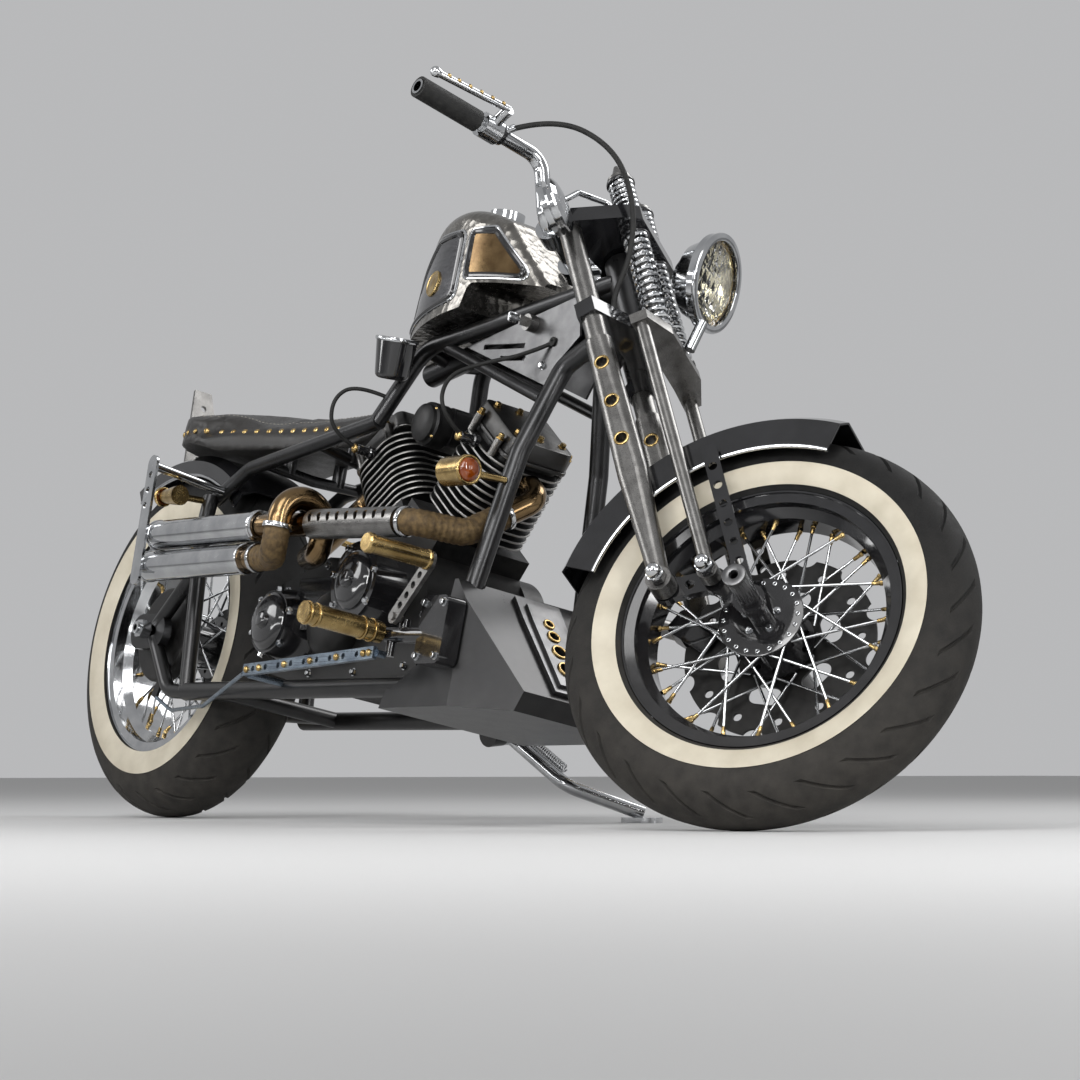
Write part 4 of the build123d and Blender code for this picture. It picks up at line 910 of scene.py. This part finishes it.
# exhaust: heat wrap on the header bend and the low run of the loop, clamps
wraps = {
    "headerWrap": dict(
        corners=((0.979, 0, 0.564), (1.014, 0, 0.539), (1.003, -0.120, 0.4545), (0.972, -0.204, 0.4545),
                 (0.560, -0.232, 0.460)),
        bends=(0.034, 0.034, 0.034), part=(0.948, -0.05, 1.0)),  # least x, most y and z
    "loopWrap": dict(
        corners=((0.552, -0.020, 0.567), (0.518, -0.020, 0.543), (0.566, -0.140, 0.425), (0.668, -0.181, 0.420),
                 (0.668, -0.181, 0.502), (0.668, -0.268, 0.502), (0.668, -0.268, 0.404), (0.606, -0.232, 0.404),
                 (0.530, -0.232, 0.404)),
        bends=(0.024, 0.030, 0.028, 0.043, 0.043, 0.030, 0.026), part=(0.556, -0.21, 0.452)),
}
exhaust = {"step": 0.0035, "wrap": 0.0225, "clamp": (0.0255, 0.0195, 0.009, 0.0015, 32),
           "tip": (0.0275, 0.0225, 0.010, 0.002, 36), "tipY": -0.232,
           "tips": ((0.2025, 0.460), (0.1875, 0.404), (0.540, 0.460), (0.5205, 0.404))}
places = []
for name, size in wraps.items():
    leastX, mostY, mostZ = size["part"]
    way = roundedWay(size["corners"], size["bends"], exhaust["step"])
    way = [p for p in way if p.x > leastX and p.y < mostY and p.z < mostZ]
    settle(tubeOn(way, exhaust["wrap"], ribs=3, sides=5), name, "wrapCloth", "frame", bikePlace, smooth=50)
    places += [looking(way[0], way[1] - way[0]), looking(way[-1], way[-2] - way[-1])]
settle(copies(ring(*exhaust["clamp"]), places), "wrapClamps", "chrome", "frame", bikePlace)
places = [looking((x, exhaust["tipY"], z), (1, 0, 0)) for x, z in exhaust["tips"]]
settle(copies(ring(*exhaust["tip"]), places), "mufflerRings", "chrome", "frame", bikePlace)
print("exhaust")

# heads: gold cover bolts and plug caps, set while the plain heads can still be cast at
heads = {"bolt": (0.0055, 0.006), "bolts": [(x, y, 0.42) for x in (-0.045, 0.045) for y in (-0.045, 0.0, 0.045)],
         "plug": (0.011, ((0.010, 1.0), (0.002, 0.8), (0.022, 1.0), (0.003, 0.75)), 16),
         "plugFrom": (0.0, -0.3, 0.272), "plugSink": 0.002, "plugTop": (0.0085, 0.007), "plugTopAt": 0.0365}
banks = [bikePlace @ shift(*fins["crank"]) @ turn(tilt * fins["halfV"], "Y") for tilt in bothWays]
boltSpots, plugSpots = [], []
for bank in banks:
    boltSpots += onSurface("cylinder_heads", bank, heads["bolts"], (0, 0, -1))
    plugSpots += onSurface("cylinder_heads", bank, [heads["plugFrom"]], (0, 1, 0), heads["plugSink"])
settle(copies(bolt(*heads["bolt"]), boltSpots), "rockerCoverBolts", "brass", "frame")
settle(copies(dome(*heads["plug"]), plugSpots), "plugCaps", "blackGloss", "frame")
places = [spot @ shift(0, 0, heads["plugTopAt"]) for spot in plugSpots]
settle(copies(stud(*heads["plugTop"]), places), "plugTops", "brass", "frame")

# finned barrels: round-cornered fins down to the case, a stepped rocker cover on each head
barrels = {"finThick": 0.004, "finSoft": 0.0009, "finCount": 8, "firstFin": 0.136, "finStep": 0.0131429,
           "headFins": (0.244, 0.257, 0.270),
           "blocks": ((0.056, 0.056, 0.05544, 0.118, 0.236, 0.001),  # barrel
                      (0.059, 0.059, 0.020, 0.2325, 0.2865, 0.001),  # head
                      (0.075, 0.065, 0.018, 0.286, 0.293, 0.0012),  # flange
                      (0.0725, 0.0625, 0.016, 0.292, 0.324, 0.003, 0.955))}  # rocker cover
sleeves = {"shape": (0.0070, ((0.032, 1.0), (0.002, 0.86)), 18), "bolt": (0.0056, 0.007), "boltAt": 0.033,
           "spots": [(x, y, 0.2725) for x in (-0.042, 0.042) for y in (-0.0690, 0.0690)]}
levels = [barrels["firstFin"] + index * barrels["finStep"] for index in range(barrels["finCount"])]
stack = []
for level in levels + list(barrels["headFins"]):
    top = level + barrels["finThick"]
    stack.append(plate(fins["half"], fins["half"], fins["corner"], level, top, barrels["finSoft"]))
stack += [plate(*block) for block in barrels["blocks"]]
settle(copies(joinAll(stack), banks), "finnedBarrels", "finBlack", "frame", replaces=["cylinders", "cylinder_heads"])
places = [bank @ shift(*spot) for bank in banks for spot in sleeves["spots"]]
settle(copies(dome(*sleeves["shape"]), places), "coverSleeves", "satinSteel", "frame")
places = [place @ shift(0, 0, sleeves["boltAt"]) for place in places]
settle(copies(bolt(*sleeves["bolt"]), places), "sleeveBolts", "brass", "frame")
print("finned barrels")

# plug leads: loose black leads from the caps up to the frame
leads = {"radius": 0.0035, "start": Vector((0, 0, 0.028)),
         "rear": ((0.604, -0.163, 0.637), (0.602, -0.172, 0.696), (0.622, -0.140, 0.728), (0.656, -0.088, 0.712)),
         "front": ((0.932, -0.166, 0.648), (0.908, -0.150, 0.716), (0.928, -0.092, 0.752), (0.994, -0.064, 0.766),
                   (1.042, -0.039, 0.792)),
         "grommet": (0.0080, 0.0030, 0.004, 0.0010, 20), "grommetAt": (1.0395, -0.0420, 0.7905)}
for name, spot in zip(("rear", "front"), plugSpots):
    way = [spot @ leads["start"]] + [bikePlace @ Vector(point) for point in leads[name]]
    flexOn(way, leads["radius"], name + "PlugLead", "frame")
settle(ring(*leads["grommet"]), "leadGrommet", "gripRubber", "frame", bikePlace @ facing(leads["grommetAt"], -1))

# case: bolts round the covers and the edge, round caps, gear bulge, carburettor top, gusset bolts
case = {"bolt": (0.0052, 0.005), "rounds": ((0.765, 0.375, 0.062, 7), (0.500, 0.316, 0.056, 6)), "start": 0.3,
        "cap": (0.050, ((0.004, 1.0), (0.005, 0.9), (0.003, 0.8), (0.002, 0.45), (0.005, 0.9), (0.002, 0.8)), 40),
        "caps": ((0.765, -0.1635, 0.375), (0.500, -0.1515, 0.316)),
        "bulge": (0.060, ((0.020, 1.0), (0.012, 0.92), (0.008, 0.8), (0.004, 0.6), (0.001, 0.4)), 36),
        "bulgeAt": (0.634, -0.0915, 0.316),
        "rightEdge": ((0.445, 0.262), (0.445, 0.385), (0.560, 0.425), (0.560, 0.238), (0.700, 0.238),
                      (0.850, 0.246), (0.880, 0.330), (0.690, 0.410)),
        "leftFrom": (0.695, 0.4, 0.350), "leftReach": (0.19, 0.076), "leftBolts": 10,
        "gussetBolt": (0.0055, 0.005), "gussets": ((0.985, 0.870), (0.86, 0.822), (1.02, 0.752), (0.93, 0.775))}
carb = {"cap": (0.0375, ((0.004, 1.0), (0.003, 0.9), (0.006, 0.96), (0.003, 0.82), (0.002, 0.4)), 32),
        "spot": (0.765, -0.0755, 0.664), "screw": (0.0036, 0.006), "screwReach": 0.0335,
        "screwMiddle": Vector((0.765, -0.0780, 0.664))}
spots = [(x + reach * right, z + reach * up) for x, z, reach, count in case["rounds"]
         for right, up in around(count, case["start"])]
settle(copies(bolt(*case["bolt"]), onRight("engine_covers", spots)), "caseBolts", "chrome", "frame")
places = [facing(spot, -1) for spot in case["caps"]]
settle(copies(dome(*case["cap"]), places), "coverCaps", "blackGloss", "frame", bikePlace, "engine_black")
settle(dome(*case["bulge"]), "gearBulge", "castBlack", "frame", bikePlace @ facing(case["bulgeAt"], -1))
settle(dome(*carb["cap"]), "carbCap", "castBlack", "frame", bikePlace @ facing(carb["spot"], -1))
places = [facing(carb["screwMiddle"] + Vector((right, 0, up)) * carb["screwReach"], -1) for right, up in around(4, 0.5)]
settle(copies(stud(*carb["screw"]), places), "carbScrews", "brass", "frame", bikePlace)
leftX, leftY, leftZ = case["leftFrom"]
wide, tall = case["leftReach"]
spots = [(leftX + wide * right, leftY, leftZ + tall * up) for right, up in around(case["leftBolts"])]
places = onRight("crankcase", case["rightEdge"]) + onSurface("crankcase", bikePlace, spots, (0, -1, 0))
settle(copies(bolt(*case["bolt"]), places), "crankcaseBolts", "chrome", "frame")
places = onBothSides("gusset_panels", case["gussets"])
settle(copies(bolt(*case["gussetBolt"]), places), "gussetBolts", "chrome", "frame")
print("engine fittings")

# chin spoiler: gold rings round the stepped panel's holes
chin = {"origin": Vector((1.046, 0, 0.372)), "normal": Vector((172, 0, 158)).normalized(), "proud": 0.012,
        "holes": ((0.070, 0.006), (0.098, 0.008), (0.132, 0.010), (0.172, 0.012)),  # way down, radius
        "lip": 0.0045, "ring": (0.004, 0.0014, 24)}
chinDown = Vector((0, 1, 0)).cross(chin["normal"])
for index, (drop, hole) in enumerate(chin["holes"]):
    centre = chin["origin"] + chinDown * drop + chin["normal"] * chin["proud"]
    settle(ring(hole + chin["lip"], hole, *chin["ring"]), "chinRing%d" % index, "brass", "frame",
           bikePlace @ looking(centre, chin["normal"]))
print("chin rings")

# foot controls: peg rings, pedal and link studs, control block bolts
controls = {"pegRing": (0.0198, 0.0172, 0.006, 0.0018, 28), "peg": (0.930, 0.275),
            "pegRings": (0.214, 0.232, 0.320, 0.336),
            "sleeve": (0.0168, ((0.004, 1.0), (0.002, 0.9), (0.100, 1.0), (0.002, 1.11), (0.008, 1.0),
                                (0.003, 0.85)), 24),
            "sleeveAt": (1.042, -0.2065, 0.388),
            "link": (Vector((0.548, 0.217)), Vector((0.941, 0.240))), "stud": (0.006, 0.005),
            "studs": (0.03, 0.13, 0.33, 0.53, 0.73, 0.93, 0.97),  # shares of the link
            "bolt": (0.0055, 0.006),
            "bolts": [(1.046 + x, 0.282 + z) for x in (-0.026, 0.026) for z in (-0.043, 0.043)]}
pegX, pegZ = controls["peg"]
places = [facing((pegX, side * y, pegZ), side) for side in bothWays for y in controls["pegRings"]]
settle(copies(ring(*controls["pegRing"]), places), "pegRings", "brass", "frame", bikePlace)
settle(dome(*controls["sleeve"]), "pedalSleeve", "brass", "frame", bikePlace @ facing(controls["sleeveAt"], -1))
linkFoot, linkEnd = controls["link"]
places = onRight("control_links", [linkFoot.lerp(linkEnd, share) for share in controls["studs"]])
settle(copies(stud(*controls["stud"]), places), "linkStuds", "brass", "frame")
places = onBothSides("control_mounts", controls["bolts"])
settle(copies(bolt(*controls["bolt"]), places), "controlBlockBolts", "chrome", "frame")
print("foot controls")

# lamps and gauge: amber lenses, gold bezels, chrome gauge rim with a dial and marks, the key
signals = {"front": (1.106, 0.204, 0.531, 0.0225, 1), "rear": (0.145, 0.206, 0.540, 0.0165, -1)}  # spot, radius, way
lenses = {"share": 0.86, "steps": ((0.004, 1.0), (0.004, 0.9), (0.003, 0.72), (0.002, 0.45)), "sides": 24,
          "bezelOuter": 1.08, "bezelInner": 0.84, "bezel": (0.0075, 0.002, 28), "bezelAt": -0.003}
gauge = {"foot": Vector((0.690, -0.118, 0.736)), "axis": Vector((0.2, -0.15, 1)).normalized(), "height": 0.0635,
         "rim": (0.0372, 0.0305, 0.007, 0.0022, 40),
         "dial": (0.031, ((0.0015, 1.0), (0.0008, 0.9), (-0.0006, 0.86)), 36),
         "mark": (0.0013, ((0.0006, 1.0), (0.0004, 0.7)), 8),
         "marks": range(-120, 121, 30), "markAt": (0, 0.0225, 0.0018)}
key = {"shape": (0.0035, ((0.006, 1.0), (0.002, 2.6), (0.012, 1.0), (0.002, 0.8)), 12),
       "flat": 0.35, "lock": (0.975, 0.826)}
for name, (x, y, z, radius, way) in signals.items():
    places = [looking((x, side * y, z), (way, 0, 0)) for side in bothWays]
    lens = dome(radius * lenses["share"], lenses["steps"], lenses["sides"])
    settle(copies(lens, places), name + "SignalLenses", "amber", "frame", bikePlace)
    places = [place @ shift(0, 0, lenses["bezelAt"]) for place in places]
    bezel = ring(radius * lenses["bezelOuter"], radius * lenses["bezelInner"], *lenses["bezel"])
    settle(copies(bezel, places), name + "SignalBezels", "brass", "frame", bikePlace)
gaugePlace = bikePlace @ looking(gauge["foot"] + gauge["axis"] * gauge["height"], gauge["axis"])
settle(ring(*gauge["rim"]), "gaugeRim", "chrome", "frame", gaugePlace)
settle(dome(*gauge["dial"]), "gaugeDial", "dialFace", "frame", gaugePlace)
places = [turn(angle, "Z") @ shift(*gauge["markAt"]) for angle in gauge["marks"]]
settle(copies(dome(*gauge["mark"]), places), "gaugeMarks", "creamWall", "frame", gaugePlace)
keyBlade = dome(*key["shape"])
stretch(keyBlade, key["flat"])
settle(copies(keyBlade, onRight("ignition_lock", [key["lock"]])), "ignitionKey", "chrome", "frame")
print("lamps and gauge")

# mirror back with flat facets, stand spring, polished fender edges
mirror = {"shape": (0.0455, ((0.003, 1.0), (0.005, 0.8), (0.003, 0.6), (0.002, 0.3)), 14),
          "spot": (-0.0375, -0.182, 1.118)}
standSpring = {"start": Vector((0.822, 0.186, 0.192)), "end": Vector((0.905, 0.219, 0.141)),
               "radius": 0.0062, "wire": 0.0014, "windings": 22}
fenders = {"frontFender": (0.272, 0.084, -144, 93, frontPlace, "fork"),  # reach, half width, start and sweep
           "rearFender": (0.297, 0.085, -122, 72, rearPlace, "frame")}
fenderBead = {"radius": 0.0032, "steps": 60}
settle(dome(*mirror["shape"]), "mirrorBack", "chrome", "fork", forkPlace @ looking(mirror["spot"], (1, 0, 0)), smooth=5)
along = standSpring["end"] - standSpring["start"]
pitch = along.length / standSpring["windings"]
standCoil = coil(standSpring["radius"], standSpring["wire"], pitch, standSpring["windings"])
settle(standCoil, "standSpring", "chrome", "stand", bikePlace @ looking(standSpring["start"], along))
for name, (reach, half, start, sweep, place, body) in fenders.items():
    shares = [index / fenderBead["steps"] for index in range(fenderBead["steps"] + 1)]
    bead = tubeOn([turn(start + sweep * share, "Y") @ Vector((reach, 0, 0)) for share in shares], fenderBead["radius"])
    settle(copies(bead, [shift(0, half, 0), shift(0, -half, 0)]), name + "Beads", "chrome", body, place)
print("small fittings")

# seat: the plain solid puffed up as leather, then stitched and studded
seat = {"voxel": 0.006, "softenings": 6, "softening": 0.5, "pressure": 4.0, "frames": 20, "heldHeight": 0.02,
        "stiffness": 40, "bending": 4, "stud": (0.0058, 0.004), "studSink": 0.0015,
        "studs": [(-0.02 + 0.03 * index, 0.688) for index in range(19)],
        "stitch": (0.0011, ((0.0008, 1.0), (0.0005, 0.6)), 8), "stitchLong": 3.0, "stitchSink": 0.0004,
        "stitches": [-0.03 + 0.0095 * index for index in range(58)], "seamZ": 0.692, "seamIn": 0.024,
        "beside": 0.3, "above": 0.9}  # where the casts for the seam start
toBike = bikePlace.inverted()
forward = bikePlace.to_3x3() @ Vector((1, 0, 0))
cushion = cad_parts["seat"].copy()
cushion.data = cushion.data.copy()
bpy.context.collection.objects.link(cushion)
take(cushion)
cushion.data.transform(cushion.matrix_world)
cushion.parent = None
cushion.matrix_world = Matrix.Identity(4)
cushion.data.remesh_voxel_size = seat["voxel"]
bpy.ops.object.voxel_remesh()
soften = cushion.modifiers.new("soften", "SMOOTH")
soften.iterations = seat["softenings"]
soften.factor = seat["softening"]
applyAll(cushion)
held = cushion.vertex_groups.new(name="held")
heights = [(toBike @ vert.co).z for vert in cushion.data.vertices]
limit = min(heights) + seat["heldHeight"]
held.add([index for index, height in enumerate(heights) if height < limit], 1.0, "REPLACE")
cloth = cushion.modifiers.new("puff", "CLOTH")
cloth.settings.vertex_group_mass = "held"
cloth.settings.use_pressure = True
cloth.settings.uniform_pressure_force = seat["pressure"]
cloth.settings.effector_weights.gravity = 0
cloth.settings.tension_stiffness = seat["stiffness"]
cloth.settings.compression_stiffness = seat["stiffness"]
cloth.settings.bending_stiffness = seat["bending"]
cloth.point_cache.frame_end = seat["frames"]
for number in range(1, seat["frames"] + 1):
    bpy.context.scene.frame_set(number)
applyAll(cushion)
bpy.context.scene.frame_set(1)
settle(cushion, "leatherSeat", "leather", "frame", replaces=["seat"], smooth=60)


def stitchPlace(x, side):  # on the seat's top, a little in from its edge
    edge = surfaceSpot(cushion, bikePlace, (x, side * seat["beside"], seat["seamZ"]), (0, -side, 0))
    if not edge:
        return None
    half = abs((toBike @ edge[0]).y) - seat["seamIn"]
    found = surfaceSpot(cushion, bikePlace, (x, side * half, seat["above"]), (0, 0, -1))
    if not found:
        return None
    spot, up = found
    across = up.cross(forward).normalized()
    basis = Matrix((across.cross(up), across, up)).transposed().to_4x4()
    return Matrix.Translation(spot - up * seat["stitchSink"]) @ basis


places = onBothSides(cushion, seat["studs"], seat["studSink"])
settle(copies(stud(*seat["stud"]), places), "seatStuds", "brass", "frame")
stitch = dome(*seat["stitch"])
stretch(stitch, seat["stitchLong"])
places = [stitchPlace(x, side) for side in bothWays for x in seat["stitches"]]
settle(copies(stitch, [place for place in places if place]), "seatStitches", "seatThread", "frame")
print("seat")

# studio
studio = {"floorSize": 40, "floorColour": (0.60, 0.60, 0.60), "floorRough": 0.6,
          "backdrop": (0.93, 0.935, 0.95), "ambient": 0.11, "behind": 0.52, "aim": Vector((0, 0, 0.55)),
          "sun": ((2.0, -3.0, 5.0), 0.8, 30),
          "lamps": [((2.6, -3.4, 3.2), 1.4, 40), ((-2.8, -2.6, 2.4), 1.5, 34), ((0.5, 3.2, 3.4), 2.0, 70),
                    ((3.6, 1.2, 1.2), 1.1, 28)],  # spot, size, power
          "strips": [((1.2, -2.6, 1.7), (3.2, 0.18), 20), ((3.2, -0.6, 2.2), (0.2, 2.4), 22),
                     ((-0.6, -2.4, 0.8), (2.6, 0.12), 8), ((2.4, -5.0, 1.9), (0.35, 1.8), 46),
                     ((6.2, -0.8, 1.9), (0.35, 1.8), 50)]}
view = {"spot": (4.9537, -3.3259, 0.0944), "tilt": 93.58, "heading": 54.52, "lens": 120.2}


def addLight(kind, spot, power):
    bpy.ops.object.light_add(type=kind, location=spot)
    light = bpy.context.object
    light.data.energy = power
    light.rotation_euler = (studio["aim"] - Vector(spot)).to_track_quat("-Z", "Y").to_euler()
    return light.data


deselect()
bpy.ops.mesh.primitive_plane_add(size=studio["floorSize"])
floor = bpy.context.object
floor.name = "floor"
floorMat = bpy.data.materials.new("paleFloor")
floorMat.use_nodes = True
feed(floorMat.node_tree, floorMat.node_tree.nodes["Principled BSDF"], {
    "Base Color": (*studio["floorColour"], 1), "Roughness": studio["floorRough"]})
floor.data.materials.append(floorMat)

for spot, size, power in studio["lamps"]:
    addLight("AREA", spot, power).size = size
for spot, size, power in studio["strips"]:
    strip = addLight("AREA", spot, power)
    strip.shape = "RECTANGLE"
    strip.size, strip.size_y = size
spot, power, softness = studio["sun"]
addLight("SUN", spot, power).angle = math.radians(softness)

sky = bpy.data.worlds.new("studioSky")
bpy.context.scene.world = sky
sky.use_nodes = True
tree = sky.node_tree
path = addNode(tree, "LightPath", {}).outputs
seen = path["Is Camera Ray"]
for kind in ("Is Glossy Ray", "Is Transmission Ray"):  # metal and glass show the backdrop too
    seen = mathStep(tree, "MAXIMUM", seen, path[kind])
level = addNode(tree, "MapRange", {"To Min": studio["ambient"], "To Max": studio["behind"], "Value": seen})
feed(tree, tree.nodes["Background"], {"Color": (*studio["backdrop"], 1), "Strength": level.outputs[0]})

bpy.ops.object.camera_add(
    location=view["spot"], rotation=(math.radians(view["tilt"]), 0, math.radians(view["heading"])))
camera = bpy.context.object
camera.data.lens = view["lens"]
bpy.context.scene.camera = camera
bpy.context.scene.view_settings.view_transform = "Standard"
print("studio and camera set")
